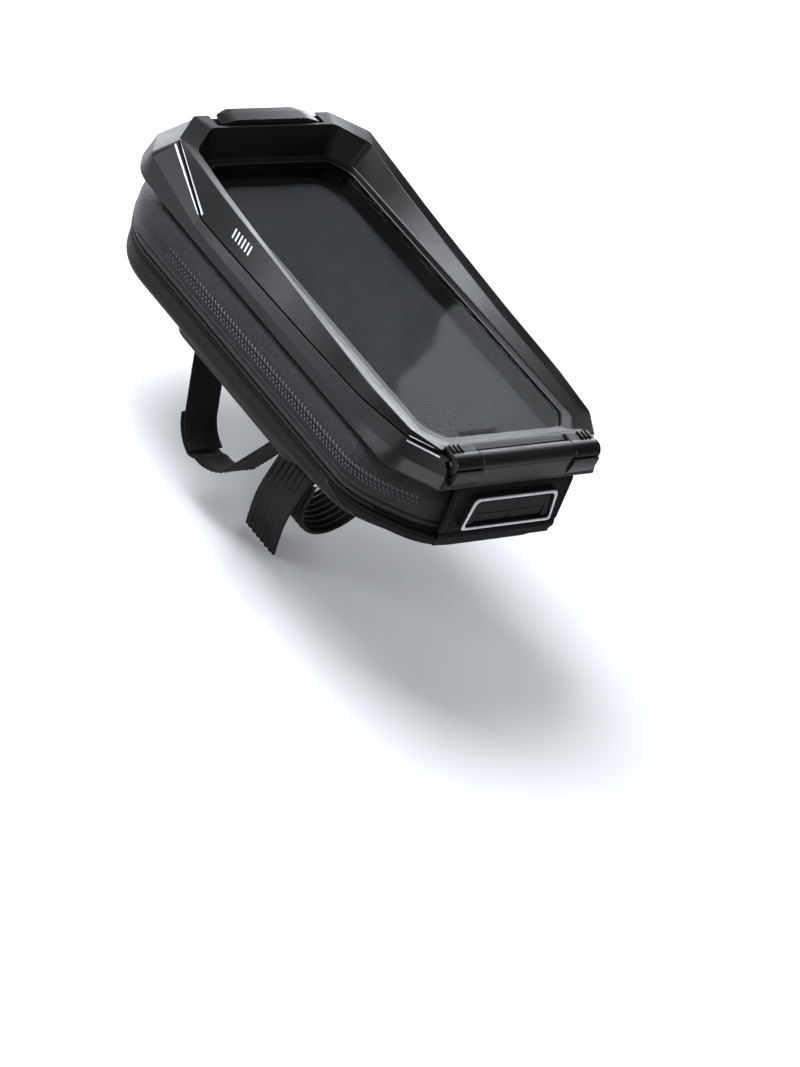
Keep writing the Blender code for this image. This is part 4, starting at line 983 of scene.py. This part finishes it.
# ================================================================== carried-over hard parts, edges softened
for n, mat, bev, slot in (
        ("window_retainer", M_BASE, 0.1, "hard_plastic"),
        ("strap_plate", M_BASE, 0.25, "hard_plastic"), ("port_housing", M_RUBBER, 0.12, "rubber"),
        ("port_flap_left", M_RUBBER, 0.1, "rubber"), ("port_flap_right", M_RUBBER, 0.1, "rubber"),
        ("window_gasket", M_RUBBER, 0.1, "rubber"), ("zip_pull", M_RUBBER, 0.12, "rubber"),
        ("corner_bumper_far_left", M_RUBBER, 0.15, "rubber"), ("corner_bumper_far_right", M_RUBBER, 0.15, "rubber"),
        ("corner_bumper_near_left", M_RUBBER, 0.15, "rubber"), ("corner_bumper_near_right", M_RUBBER, 0.15, "rubber"),
        ("zip_slider", M_ZINC, 0.12, "black_zinc"), ("hinge_pin_left", M_ZINC, 0.0, "black_zinc"),
        ("hinge_pin_right", M_ZINC, 0.0, "black_zinc"), ("latch_catch", M_ZINC, 0.15, "black_zinc"),
        ("port_frame", M_RUBBER, 0.12, "rubber"), ("stiffener_board", M_BOARD, 0.15, "board"),
        ("phone_tray", M_TRAY, 0.2, "hard_plastic"), ("grip_pad", M_RUBBER, 0.2, "rubber")):
    o = refined(n, mat, bev)
    place(o, NODES[n]["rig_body"], slot, n)
TAB = [(27.6, 90.8, 0, 0.8), (25.5, 97.4, 0, 0.6), (18.6, 100.4, 0, 0.6)]
TAB_M = [(25.6, 91.0, 0, 0.8), (23.9, 97.0, 0, 0.6), (17.8, 99.7, 0, 0.6)]
TAB_T = [(19.4, 91.4, 0, 0.5), (18.9, 96.2, 0, 0.5), (16.4, 98.6, 0, 0.5)]
rs = [fixed_ring([(x, y, 67.3, t) for x, y, _, t in inset(TAB, 0.3)], (5, 5, 5)),
      fixed_ring([(x, y, 67.7, t) for x, y, _, t in TAB], (5, 5, 5)),
      fixed_ring([(x, y, 68.35, t) for x, y, _, t in TAB], (5, 5, 5)),
      fixed_ring([(x, y, 68.75, t) for x, y, _, t in TAB_M], (5, 5, 5)),
      fixed_ring([(x, y, 69.9, t) for x, y, _, t in TAB_T], (5, 5, 5))]
rs, tags = fillet(rs, [0, 0.15, 0.2, 0.25, 0.0], closed=False)
tab = make("latch_slide_tab", skin(rs, cap=(True, True), uv=False), [M_HOOD], 26)
boolean(tab, boxy((16.0, 1.2, 11.4), (0, 91.6, 62.2), 0.2), 'UNION')
resmooth(tab, 26)
weigh(tab)
place(tab, NODES["latch_slide"]["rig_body"], "hard_plastic", "latch_slide")
for k in range(6):
    o = refined("window_screw_%d" % (k + 1), M_NICKEL, 0.0, smooth=40)
    place(o, NODES["window_screw_%d" % (k + 1)]["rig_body"], "nickel_steel", "window_screw_%d" % (k + 1))
for k in range(4):
    o = refined("plate_rivet_%d" % (k + 1), M_ZINC, 0.0, smooth=40)
    place(o, NODES["plate_rivet_%d" % (k + 1)]["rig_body"], "black_zinc", "plate_rivet_%d" % (k + 1))
film = refined("window_film", M_FILM, 0.0, smooth=20, name="window_touch_film")
place(film, NODES["window_film"]["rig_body"], "clear_film", "window_film")

# ================================================================== hinge panel, ribbed, with a welt down each side
def face_y(z):
    return -101.3 + (z - 24.0) * 0.16


def panel_mesh():
    bm = bmesh.new()
    lay = bm.loops.layers.uv.new("mm")
    xs = [-33.2 + 66.4 * i / 332 for i in range(333)]
    zs = [24.15, 24.3, 24.6, 25.2] + [25.2 + (43.2 - 25.2) * k / 12 for k in range(1, 13)] + [43.8, 44.1, 44.25]
    rows = []
    for z in zs:
        edge = min((z - 24.15) / 0.9, (44.25 - z) / 0.9, 1.0)
        row = []
        for x in xs:
            a = abs(x)
            if a > 31.0:                                    # folded welt
                h = 0.42 * math.sqrt(max(0.0, 1 - ((a - 32.1) / 1.1) ** 2))
            elif a > 30.3:                                  # sewn groove
                h = -0.18
            else:
                h = 0.16 * (0.5 + 0.5 * math.cos(2 * math.pi * (x + z * 0.18) / 1.15))
            h = h * edge - 0.35 * (1 - edge)
            row.append(bm.verts.new((x, face_y(z) - h, z)))
        rows.append(row)
    back = [[bm.verts.new((x, face_y(z) + 1.15, z)) for x in (xs[0], xs[-1])] for z in (zs[0], zs[-1])]
    for k in range(len(zs) - 1):
        for i in range(len(xs) - 1):
            f = bm.faces.new((rows[k][i], rows[k][i + 1], rows[k + 1][i + 1], rows[k + 1][i]))
            for lp in f.loops:
                lp[lay].uv = (lp.vert.co.x, lp.vert.co.z)
    bm.faces.new((back[0][0], back[0][1], back[1][1], back[1][0]))
    bm.faces.new([back[0][0]] + rows[0][::-1][::-1] + [back[0][1]])
    bm.faces.new([back[1][0]] + rows[-1] + [back[1][1]])
    bm.faces.new([back[0][0], back[1][0]] + [r[0] for r in rows[::-1]])
    bm.faces.new([back[0][1], back[1][1]] + [r[-1] for r in rows[::-1]])
    return bm


panel = make("ribbed_hinge_panel", panel_mesh(), [M_PANEL], 50)
boolean(panel, boxy((34.0, 16.0, 5.3), (0, -99.5, 31.55), 0))
resmooth(panel, 50)
place(panel, "lid", "panel_fabric", "hinge_panel")
st = []
for s in (-1, 1):
    line = [(Vector((s * 30.65, face_y(z) + 0.10, z)), Vector((0, -1, 0.16)).normalized()) for z in (25.0, 31, 37, 43.4)]
    st.append(stitches(line, 2.3, 1.6, 0.2))
o = make("panel_side_stitching", merge(st), M_THREAD, 60)
place(o, "lid", "panel_fabric")

# bright line round the cable port
P_LO, P_HI = (25.5, 27.2), (23.5, 41.3)


def port_ring(d, out):
    v = [(P_LO[0] - d * 1.05, face_y(P_LO[1] + d) - out, P_LO[1] + d, 1.6),
         (P_HI[0] - d * 1.05, face_y(P_HI[1] - d) - out, P_HI[1] - d, 2.6)]
    return fixed_ring(v, (6, 6))


rs = [port_ring(0.05, 2.6), port_ring(-0.02, 2.85), port_ring(0.08, 3.12), port_ring(0.35, 3.22), port_ring(0.95, 3.22),
      port_ring(1.18, 3.10), port_ring(1.22, 2.8)]
o = make("port_bright_line", skin(rs, closed=True), [M_SILVER_TRIM_AND_HIGHLIGHT], 40)
place(o, NODES["port_frame"]["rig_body"], "silver_trim")

# strip between the bag and the lid, built in one bent shape
flex = spline([(-100.75, 17.9), (-100.95, 19.4), (-101.25, 20.6), (-101.55, 21.5), (-101.65, 22.0), (-101.55, 22.6),
               (-101.2, 23.6), (-100.55, 24.6), (-100.3, 25.4)], 3)
bm = bmesh.new()
lay = bm.loops.layers.uv.new("mm")
rows = []
for i, p in enumerate(flex):
    a, b = flex[max(i - 1, 0)], flex[min(i + 1, len(flex) - 1)]
    d = (b - a).normalized()
    nrm = Vector((-d.y, d.x))
    if nrm.x > 0:
        nrm = -nrm
    ro, ri = [], []
    for k in range(301):
        x = -32.6 + 65.2 * k / 300
        h = 0.42 + 0.10 * math.cos(2 * math.pi * (x + p.y * 0.18) / 1.15)
        q = p + nrm * h
        ro.append(bm.verts.new((x, q.x, q.y)))
    q = p - nrm * 0.4
    ri = [bm.verts.new((-32.6, q.x, q.y)), bm.verts.new((32.6, q.x, q.y))]
    rows.append((ro, ri))
for (a, ai), (b, bi) in zip(rows[:-1], rows[1:]):
    for k in range(300):
        bm.faces.new((a[k], a[k + 1], b[k + 1], b[k]))
    bm.faces.new((ai[0], ai[1], bi[1], bi[0]))
    bm.faces.new((a[0], b[0], bi[0], ai[0]))
    bm.faces.new((a[-1], b[-1], bi[1], ai[1]))
for (a, ai) in (rows[0], rows[-1]):
    bm.faces.new(a + [ai[1], ai[0]])
strip = make("hinge_fabric_strip", bm, [M_PANEL], 50)
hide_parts("hinge_strip")
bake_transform(strip)


# ================================================================== zip: two tapes and the coil between
def band(name, prof_pts, mat, body, node_name, slot):
    rs = [fixed_ring([(x, y, z, t) for x, y, _, t in inset(LID_OUT, d)], SEG8) for d, z in prof_pts]
    rs = densify(rs, 3.0)
    bm = skin(rs, closed=True)
    o = make(name, bm, [mat], 50)
    place(o, body, slot, node_name)
    return o


band("zip_tape_low", [(1.75, 20.1), (1.35, 21.0), (1.15, 21.55), (1.7, 21.7), (6.8, 21.7), (6.8, 20.75), (2.5, 20.6)], M_TAPE, "bag",
     "zip_tape_lower", "zip_tape")
band("zip_tape_high", [(1.15, 22.35), (1.05, 23.0), (0.95, 23.75), (1.9, 23.8), (2.6, 23.2), (6.8, 23.1), (6.8, 22.2), (1.7, 22.2)], M_TAPE,
     "lid", "zip_tape_upper", "zip_tape")


def coil(z0, z1, phase):
    """One row of zip coils along the sides and the far end."""
    base_r = fixed_ring([(x, y, 0, t) for x, y, _, t in inset(LID_OUT, 1.15)], SEG8)
    k0 = 2 * 15 - 8
    pts = [p for p in densify([base_r], 1.0)[0]]
    # start and end where the outline turns to the rider's end
    i0 = min(range(len(pts)), key=lambda i: (pts[i] - Vector((54.0, -84.0, 0))).length)
    i1 = min(range(len(pts)), key=lambda i: (pts[i] - Vector((-54.0, -84.0, 0))).length)
    pts = pts[i0:i1 + 1]
    bms = []
    acc, nxt = 0.0, phase
    pitch = 1.3
    for a, b in zip(pts[:-1], pts[1:]):
        L = (b - a).length
        while nxt < acc + L:
            c = a.lerp(b, (nxt - acc) / L)
            d = (b - a).normalized()
            n = Vector((d.y, -d.x, 0))
            rot = Matrix((d, n, Vector((0, 0, 1)))).transposed()
            bms.append(boxy((0.72, 0.9, z1 - z0), (c.x, c.y, (z0 + z1) / 2), 0.16, 1, rot=rot))
            nxt += pitch
        acc += L
    return merge(bms)


o = make("zip_coil_low", coil(21.35, 22.1, 0.2), M_TOOTH, 50)
place(o, "bag", "zip_tape")
o = make("zip_coil_high", coil(21.8, 22.6, 0.85), M_TOOTH, 50)
place(o, "lid", "zip_tape")


# ================================================================== straps
def strap(name, path, w0, w1, axis, thick, mats, ribs=0, rib_h=0.35, steps=3):
    P = spline([(p[0], p[1], 0) for p in path], steps)
    n_w = ribs * 8 if ribs else 14
    bm = bmesh.new()
    lay = bm.loops.layers.uv.new("mm")
    rows, acc = [], [0.0]
    for i, p in enumerate(P):
        a, b = P[max(i - 1, 0)], P[min(i + 1, len(P) - 1)]
        d = (b - a).normalized()
        nrm = Vector((-d.y, d.x, 0))
        if i:
            acc.append(acc[-1] + (P[i] - P[i - 1]).length)
        top, bot = [], []
        for k in range(n_w + 1):
            t = k / n_w
            w = w0 + (w1 - w0) * t
            e = min(t, 1 - t) * (w1 - w0)
            rnd = 1.0 if e > thick * 0.5 else math.sqrt(max(0.0, 1 - (1 - e / (thick * 0.5)) ** 2))
            h = thick / 2 * (0.25 + 0.75 * rnd)
            g = 0.0
            if ribs:
                edge = min(t, 1 - t) * (w1 - w0)
                if edge > 1.0:
                    g = -rib_h * (0.5 - 0.5 * math.cos(2 * math.pi * ribs * t)) ** 0.6 + rib_h * 0.5
                h2 = h + g * 0.8
            else:
                h2 = h - (0.12 if 1.0 < e < 1.7 else 0.0)
            for side, lst in ((1, top), (-1, bot)):
                q = p + nrm * (h2 * side)
                lst.append(bm.verts.new((w, q.x, q.y) if axis == 'X' else (q.x, w, q.y)))
        rows.append((top, bot))
    for i in range(len(rows) - 1):
        for s in (0, 1):
            a, b = rows[i][s], rows[i + 1][s]
            for k in range(n_w):
                f = bm.faces.new((a[k], a[k + 1], b[k + 1], b[k]))
                f.material_index = s if len(mats) > 1 else 0
                for lp, uv in zip(f.loops, ((k, acc[i]), (k + 1, acc[i]), (k + 1, acc[i + 1]), (k, acc[i + 1]))):
                    lp[lay].uv = (uv[0] * (w1 - w0) / n_w, uv[1])
        for k in (0, n_w):
            bm.faces.new((rows[i][0][k], rows[i + 1][0][k], rows[i + 1][1][k], rows[i][1][k]))
    for r in (rows[0], rows[-1]):
        bm.faces.new(r[0] + r[1][::-1])
    return make(name, bm, mats, 50), P


def arc(cx, cy, r, a0, a1, n):
    return [(cx + r * math.cos(math.radians(a0 + (a1 - a0) * k / n)), cy + r * math.sin(math.radians(a0 + (a1 - a0) * k / n)))
            for k in range(n + 1)]


def tangent(c, r, q, sign):
    dx, dy = q[0] - c[0], q[1] - c[1]
    return math.degrees(math.atan2(dy, dx)) + sign * math.degrees(math.acos(r / math.hypot(dx, dy)))


CH_Z, SY0, SY1 = 5.7, -21.5, 33.5
for s, tag in ((-1, "left"), (1, "right")):
    c = (6.0, -16.2)
    r1 = 15.9 + 0.5 + 0.8
    r2 = r1 + 1.95
    q1, q0 = (SY1, 2.0), (SY0, 2.0)
    path = arc(c[0], c[1], r1, -74, tangent(c, r1, q1, -1), 8)
    path += [q1, (SY1, 3.6), (SY1 - 0.5, 5.1), (SY1 - 2.0, CH_Z), (SY1 - 9.0, CH_Z), (SY0 + 9.0, CH_Z), (SY0 + 2.0, CH_Z),
             (SY0 + 0.5, 5.1), (SY0, 3.6), q0]
    path += arc(c[0], c[1], r1, tangent(c, r1, q0, 1), 272, 11)
    path += [(c[0] + (r1 + 0.9) * math.cos(math.radians(278)), c[1] + (r1 + 0.9) * math.sin(math.radians(278)))]
    path += arc(c[0], c[1], r2, 285, 338, 8)
    o, P = strap("bar_strap_web_" + tag, path, s * 38.0 - 9.0, s * 38.0 + 9.0, 'X', 1.5, [M_WEB, M_LOOP])
    place(o, "bag", "webbing", "bar_strap_" + tag)
    # two rows of stitching along the edges
    tail = [(Vector((0, p.x, p.y)), None) for p in P[-16:-3]]
    lines = []
    for dx in (-7.2, 7.2):
        runs = [[]]
        for i in range(4, len(P) - 2, 2):
            a, b = P[i - 1], P[i + 1]
            d = (b - a).normalized()
            n = Vector((0, -d.y, d.x))
            out = n if (Vector((0, P[i].x - c[0], P[i].y - c[1])).dot(n) > 0) else -n
            if P[i].y < 1.5:
                runs[-1].append((Vector((s * 38.0 + dx, P[i].x, P[i].y)) + out * 0.66, out))
            elif runs[-1]:
                runs.append([])
        lines += [stitches(r, 2.6, 1.8, 0.2) for r in runs if len(r) > 2]
    o = make("bar_strap_stitching_" + tag, merge(lines), M_THREAD, 60)
    place(o, "bag", "webbing")

RX, RZ0, RZ1, WIRE = -22.2, -14.5, -6.0, 1.1
c = (0.0, -25.0)
r1 = 17.4 + 0.5 + 0.9
q = (20.0, 2.0)
path = [(8.5, CH_Z), (14.0, CH_Z), (18.0, CH_Z), (19.5, 5.1), (20.0, 3.6), q]
path += arc(c[0], c[1], r1, tangent(c, r1, q, -1), -186, 22)
rb = WIRE + 0.35 + 0.9
path += arc(RX, RZ0, rb, 0, 180, 8)
path += [(RX - rb - 0.5, -20.0), (RX - rb - 1.2, -28.0), (RX - rb - 0.9, -36.0), (RX - rb + 0.6, -43.0),
         (RX - rb + 2.6, -50.0), (RX - rb + 3.6, -53.0)]
o, P = strap("stem_strap_ribbed", path, -32.0, -12.0, 'Y', 1.7, [M_STRAPR], ribs=7, rib_h=0.75)
place(o, "bag", "rubber", "stem_strap")
ru = WIRE + 0.35 + 0.6
path = [(-8.5, CH_Z), (-14.0, CH_Z), (-18.0, CH_Z), (-19.5, 5.2), (-20.0, 3.6), (-20.2, 1.0), (RX + ru + 0.1, -2.8)]
path += arc(RX, RZ1, ru, 0, -180, 8)
path += [(RX - ru, -3.4), (RX - ru + 0.9, -1.0), (-22.1, 1.4)]
o, P = strap("ring_web_loop", path, -31.5, -12.5, 'Y', 1.15, [M_WEB])
place(o, "bag", "webbing", "ring_webbing")

loop = []
hw, hh, corner = 11.8, (RZ1 - RZ0) / 2, 2.4
for sx, sz, a0 in ((1, 1, 0), (-1, 1, 90), (-1, -1, 180), (1, -1, 270)):
    for k in range(9):
        t = math.radians(a0 + 90 * k / 8)
        loop.append(Vector((RX, -22.0 + sx * (hw - corner) + corner * math.cos(t), (RZ0 + RZ1) / 2 + sz * (hh - corner) + corner * math.sin(t))))


def planar_ring(pts, r, sides=18, normal=Vector((1, 0, 0))):
    bm = bmesh.new()
    rows = []
    m = len(pts)
    for i, p in enumerate(pts):
        d = (pts[(i + 1) % m] - pts[i - 1]).normalized()
        nn = d.cross(normal).normalized()
        rows.append([bm.verts.new(p + (nn * math.cos(2 * math.pi * k / sides) + normal * math.sin(2 * math.pi * k / sides)) * r)
                     for k in range(sides)])
    for a, b in zip(rows, rows[1:] + rows[:1]):
        for k in range(sides):
            j = (k + 1) % sides
            bm.faces.new((a[k], a[j], b[j], b[k]))
    return bm


o = make("strap_wire_ring", planar_ring(loop, WIRE), M_NICKEL, 70)
place(o, "bag", "nickel_steel", "strap_ring")

# ================================================================== tray mat: a soft pad with rolled edges
MAT = [(29.6, -78.5, 0, 2), (38.6, -69.5, 0, 2), (38.6, 69.5, 0, 2), (29.6, 78.5, 0, 2)]
rs = []
for d, z in ((0.5, 45.12), (0.1, 45.2), (0.0, 45.45), (0.15, 45.75), (0.6, 45.88), (1.4, 45.84), (3.0, 45.90), (10.0, 45.95)):
    rs.append(fixed_ring([(x, y, z, t) for x, y, _, t in inset(MAT, d)], (6, 6, 6, 6)))
bm = skin(rs, cap=(True, True))
mat_pad = make("tray_foam_mat", bm, [M_FOAM], 45)
boolean(mat_pad, boxy((22.0, 7.0, 6.0), (0, -73.0, 45.0), 0))
resmooth(mat_pad, 45)
place(mat_pad, "lid", "foam", "tray_mat")


# ================================================================== painted highlight: silver lines either side of the parting line, standing in for the light caught by the frame and visor edges
def painted_highlight_strip(name, lo_r, hi_r, t0, t1, pick, h, mat, body, slot):
    """Thin raised band between two outlines of one surface, over the stations that pick() accepts; here it carries a
    painted highlight.
    """
    bms = []
    n = len(lo_r)
    run = []
    for i in range(n + 1):
        a = lo_r[i % n]
        if i < n and pick(a):
            run.append(i)
            continue
        if len(run) > 1:
            bm = bmesh.new()
            rows = []
            for j in run:
                lo_p, hi_p = lo_r[j], hi_r[j]
                dv = lo_r[min(j + 1, n - 1)] - lo_r[j - 1]
                nn = dv.cross(hi_p - lo_p).normalized()
                ctr = Vector((0, 0, lo_p.z))
                if nn.dot(Vector((lo_p.x, lo_p.y, 0))) < 0:
                    nn = -nn
                b0, b1 = lo_p.lerp(hi_p, t0), lo_p.lerp(hi_p, t1)
                rows.append([bm.verts.new(v) for v in (b0 - nn * 0.15, b0 + nn * h, b1 + nn * h, b1 - nn * 0.15)])
            for a_, b_ in zip(rows[:-1], rows[1:]):
                for k in range(4):
                    j2 = (k + 1) % 4
                    bm.faces.new((a_[k], a_[j2], b_[j2], b_[k]))
            bm.faces.new(rows[0])
            bm.faces.new(rows[-1][::-1])
            bms.append(bm)
        run = []
    if not bms:
        return None
    o = make(name, merge(bms), mat, 30)
    place(o, body, slot)
    return o


def dense(r):
    return densify([r], 2.0)[0]


pair_b = densify([rB_mid, rT_out], 2.0)
far_pick = lambda p: 56.0 < p.y < 90.5
near_pick = lambda p: -94.6 < p.y < -81.0 and abs(p.x) > 43.0
# these strips paint the highlights that the base frame and visor edges catch
painted_highlight_strip("painted_highlight_line_base_far", pair_b[0], pair_b[1], 0.86, 0.93, far_pick, 0.10, M_SILVER_TRIM_AND_HIGHLIGHT, "lid", "silver_trim")
painted_highlight_strip("painted_highlight_line_base_near", pair_b[0], pair_b[1], 0.84, 0.93, near_pick, 0.10, M_SILVER_TRIM_AND_HIGHLIGHT, "lid", "silver_trim")
pair_h = densify([rH_lowc, rH_rim], 2.0)
painted_highlight_strip("painted_highlight_line_visor_far", pair_h[0], pair_h[1], 0.03, 0.11, lambda p: 54.5 < p.y < 85.6, 0.10, M_SILVER_TRIM_AND_HIGHLIGHT, "visor", "silver_trim")
painted_highlight_strip("painted_highlight_line_visor_near", pair_h[0], pair_h[1], 0.10, 0.26, lambda p: -88.0 < p.y < -78.5, 0.10, M_SILVER_TRIM_AND_HIGHLIGHT, "visor", "silver_trim")

# six short slanted marks on the left flank of the visor
HOOD_BVH = bvh_of(hood)
bms = []
for k in range(6):
    y = 37.5 - 2.1 * k
    pts = [(-80.0, y + 1.0 * t, 56.1 + 3.6 * t) for t in (0.0, 0.25, 0.5, 0.75, 1.0)]
    hit = on_surface(HOOD_BVH, pts, (1, 0, 0), 0.0)
    if len(hit) < 2:
        continue
    bm = bmesh.new()
    rows = []
    for p, n in hit:
        side = Vector((0, 1, 0)) * 0.42
        rows.append([bm.verts.new(v) for v in (p - side - n * 0.1, p - side + n * 0.06, p + side + n * 0.06, p + side - n * 0.1)])
    for a_, b_ in zip(rows[:-1], rows[1:]):
        for q in range(4):
            j2 = (q + 1) % 4
            bm.faces.new((a_[q], a_[j2], b_[j2], b_[q]))
    bm.faces.new(rows[0])
    bm.faces.new(rows[-1][::-1])
    bms.append(bm)
if bms:
    o = make("visor_slash_marks", merge(bms), M_WHITE, 30)
    place(o, "visor", "silver_trim")

# ribs on the visor arms
bms = []
for s in (-1, 1):
    for k in range(3):
        bms.append(boxy((1.1, 4.2, 1.0), (s * (34.2 + 2.3 * k), -89.9, 58.30), 0.3, 2))
o = make("visor_arm_ribs", merge(bms), M_HOOD, 40)
place(o, "visor", "hard_plastic")

# moulded band of slanted dashes along both sides of the lid, fading out towards the far end; their pale grey colour is
# a painted highlight
def dash(c, n, d, up, ln, w, h):
    """One raised stroke: c centre on the surface, n outwards, d along the surface, up along the stroke."""
    bm = bmesh.new()
    rows = []
    for t, k in ((-0.5, 0.25), (-0.36, 0.85), (0.0, 1.0), (0.36, 0.85), (0.5, 0.25)):
        q = c + up * (ln * t)
        rows.append([bm.verts.new(v) for v in (q - d * (w / 2 * k) - n * 0.14, q - d * (w * 0.28 * k) + n * (h * k),
                                               q + d * (w * 0.28 * k) + n * (h * k), q + d * (w / 2 * k) - n * 0.14)])
    for a_, b_ in zip(rows[:-1], rows[1:]):
        for k in range(4):
            j2 = (k + 1) % 4
            bm.faces.new((a_[k], a_[j2], b_[j2], b_[k]))
    bm.faces.new(rows[0])
    bm.faces.new(rows[-1][::-1])
    return bm


base_r = densify([fixed_ring([(x, y, 0, t) for x, y, _, t in inset(LID_OUT, -6.0)], SEG8)], 0.8)[0]
for s, tag in ((-1, "left"), (1, "right")):
    trail = [p for p in base_r if p.x * s > 30.0 and -99.0 < p.y < 66.0]
    trail.sort(key=lambda p: (p.y, -p.x * s))
    bms = []
    for col, (z0, ln, w, ph) in enumerate(((33.7, 2.2, 0.80, 0.0), (31.75, 1.35, 0.66, 0.45), (30.45, 1.3, 0.62, 0.95))):
        acc, nxt = 0.0, ph * 2.15
        for a, b in zip(trail[:-1], trail[1:]):
            L = (b - a).length
            while nxt < acc + L:
                c = a.lerp(b, (nxt - acc) / max(L, 1e-6))
                d = (b - a).normalized()
                nn = Vector((d.y, -d.x, 0))
                if nn.dot(Vector((c.x, c.y, 0))) < 0:
                    nn = -nn
                fade = max(0.0, min(1.0, (62.0 - c.y) / 40.0)) * max(0.0, min(1.0, (c.y + 97.5) / 10.0))
                z = z0 + 0.35
                if fade > 0.12:
                    hit = on_surface(LID_BVH, [(c.x, c.y, z), (c.x + d.x * 0.95, c.y + d.y * 0.95, z + 0.6)], -nn, 0.0)
                    if len(hit) == 2:
                        q, n = hit[0]
                        up = (hit[1][0] - hit[0][0]).normalized()
                        side = n.cross(up).normalized()
                        bms.append(dash(q, n, side, up, ln * (0.55 + 0.45 * fade), w * (0.6 + 0.4 * fade), 0.15 + 0.28 * fade))
                nxt += 2.15
            acc += L
    if bms:
        o = make("lid_dash_band_" + tag, merge(bms), M_DASH_HIGHLIT, 60)
        place(o, "lid", "eva_leather")

# piping on the lower shell: where the end piece is sewn on
for s, tag in ((-1, "left"), (1, "right")):
    raw = spline([(s * 80.0, -57.0, 19.6), (s * 80.0, -61.0, 18.6), (s * 80.0, -66.5, 17.0), (s * 80.0, -72.5, 15.2),
                  (s * 80.0, -78.0, 13.8)], 8)
    hit = on_surface(SHELL_BVH, raw, (-s, 0, 0), 0.1)
    if len(hit) > 3:
        o = make("shell_piping_" + tag, tube([p for p, n in hit], 0.42, 8), M_PIPE, 60)
        place(o, "bag", "weave_fabric")

# ================================================================== stage
bm = bmesh.new()
bmesh.ops.create_grid(bm, x_segments=2, y_segments=2, size=4.0)
me = bpy.data.meshes.new("floor")
bm.to_mesh(me)
bm.free()
floor = bpy.data.objects.new("floor", me)
SC.collection.objects.link(floor)
floor.location = (0, 0, CAD_LO.z - 0.0005)
fm, nt, p = tree("floor_pale")
v = coords(nt)
put(nt, mixrgb(nt, noise_of(nt, v, 3.0, 2.0), (0.86, 0.86, 0.87), (0.88, 0.88, 0.885)), p.inputs["Base Color"])
p.inputs["Roughness"].default_value = 0.7
me.materials.append(fm)

world = bpy.data.worlds.new("studio")
SC.world = world
world.use_nodes = True
bg = world.node_tree.nodes["Background"]
bg.inputs[0].default_value = (0.95, 0.97, 1.0, 1)
bg.inputs[1].default_value = 0.22


def softbox(name, loc, target, size, power, shape='RECTANGLE', spread=180):
    L = bpy.data.lights.new(name, 'AREA')
    L.shape = shape
    L.size, L.size_y = size
    L.energy = power
    L.color = (0.93, 0.96, 1.0)
    L.spread = math.radians(spread)
    ob = bpy.data.objects.new(name, L)
    SC.collection.objects.link(ob)
    ob.location = loc
    d = Vector(target) - Vector(loc)
    ob.rotation_euler = d.to_track_quat('-Z', 'Y').to_euler()
    return ob


C = (0.0, 0.0, 0.03)
softbox("key_high", (-0.45, 0.70, 1.35), C, (1.0, 0.8), 27.0)
softbox("shoulder_left", (-1.33, 0.75, 0.42), C, (0.6, 0.34), 6.5)
softbox("back_right", (1.45, 0.87, 0.36), C, (0.9, 0.7), 11.0)
softbox("far_low", (0.40, 1.90, 0.22), C, (1.0, 0.7), 16.0)
softbox("window_glint", (1.62, 0.77, 1.09), C, (0.5, 0.5), 2.2)
softbox("near_low", (-1.0, -1.02, 0.36), C, (0.4, 0.3), 5.0)

# ================================================================== camera
cam = bpy.data.cameras.new("camera")
cam.sensor_fit = 'AUTO'
cam.sensor_width = 36.0
cam.lens = 151.83
cam.clip_start = 0.05
cam.clip_end = 50
co = bpy.data.objects.new("camera", cam)
SC.collection.objects.link(co)
R = ((0.69146931, -0.56913489, 0.44492209), (0.08833550, 0.67788086, 0.72984545), (-0.71698468, -0.46536332, 0.51900863))
m = Matrix.Identity(4)
for c in range(3):
    for r in range(3):
        m[r][c] = R[c][r]
m.translation = Vector((-1.276947, -0.893156, 0.910517))
co.matrix_world = m
SC.camera = co
SC.view_settings.view_transform = 'Standard'
SC.view_settings.look = 'Medium High Contrast'
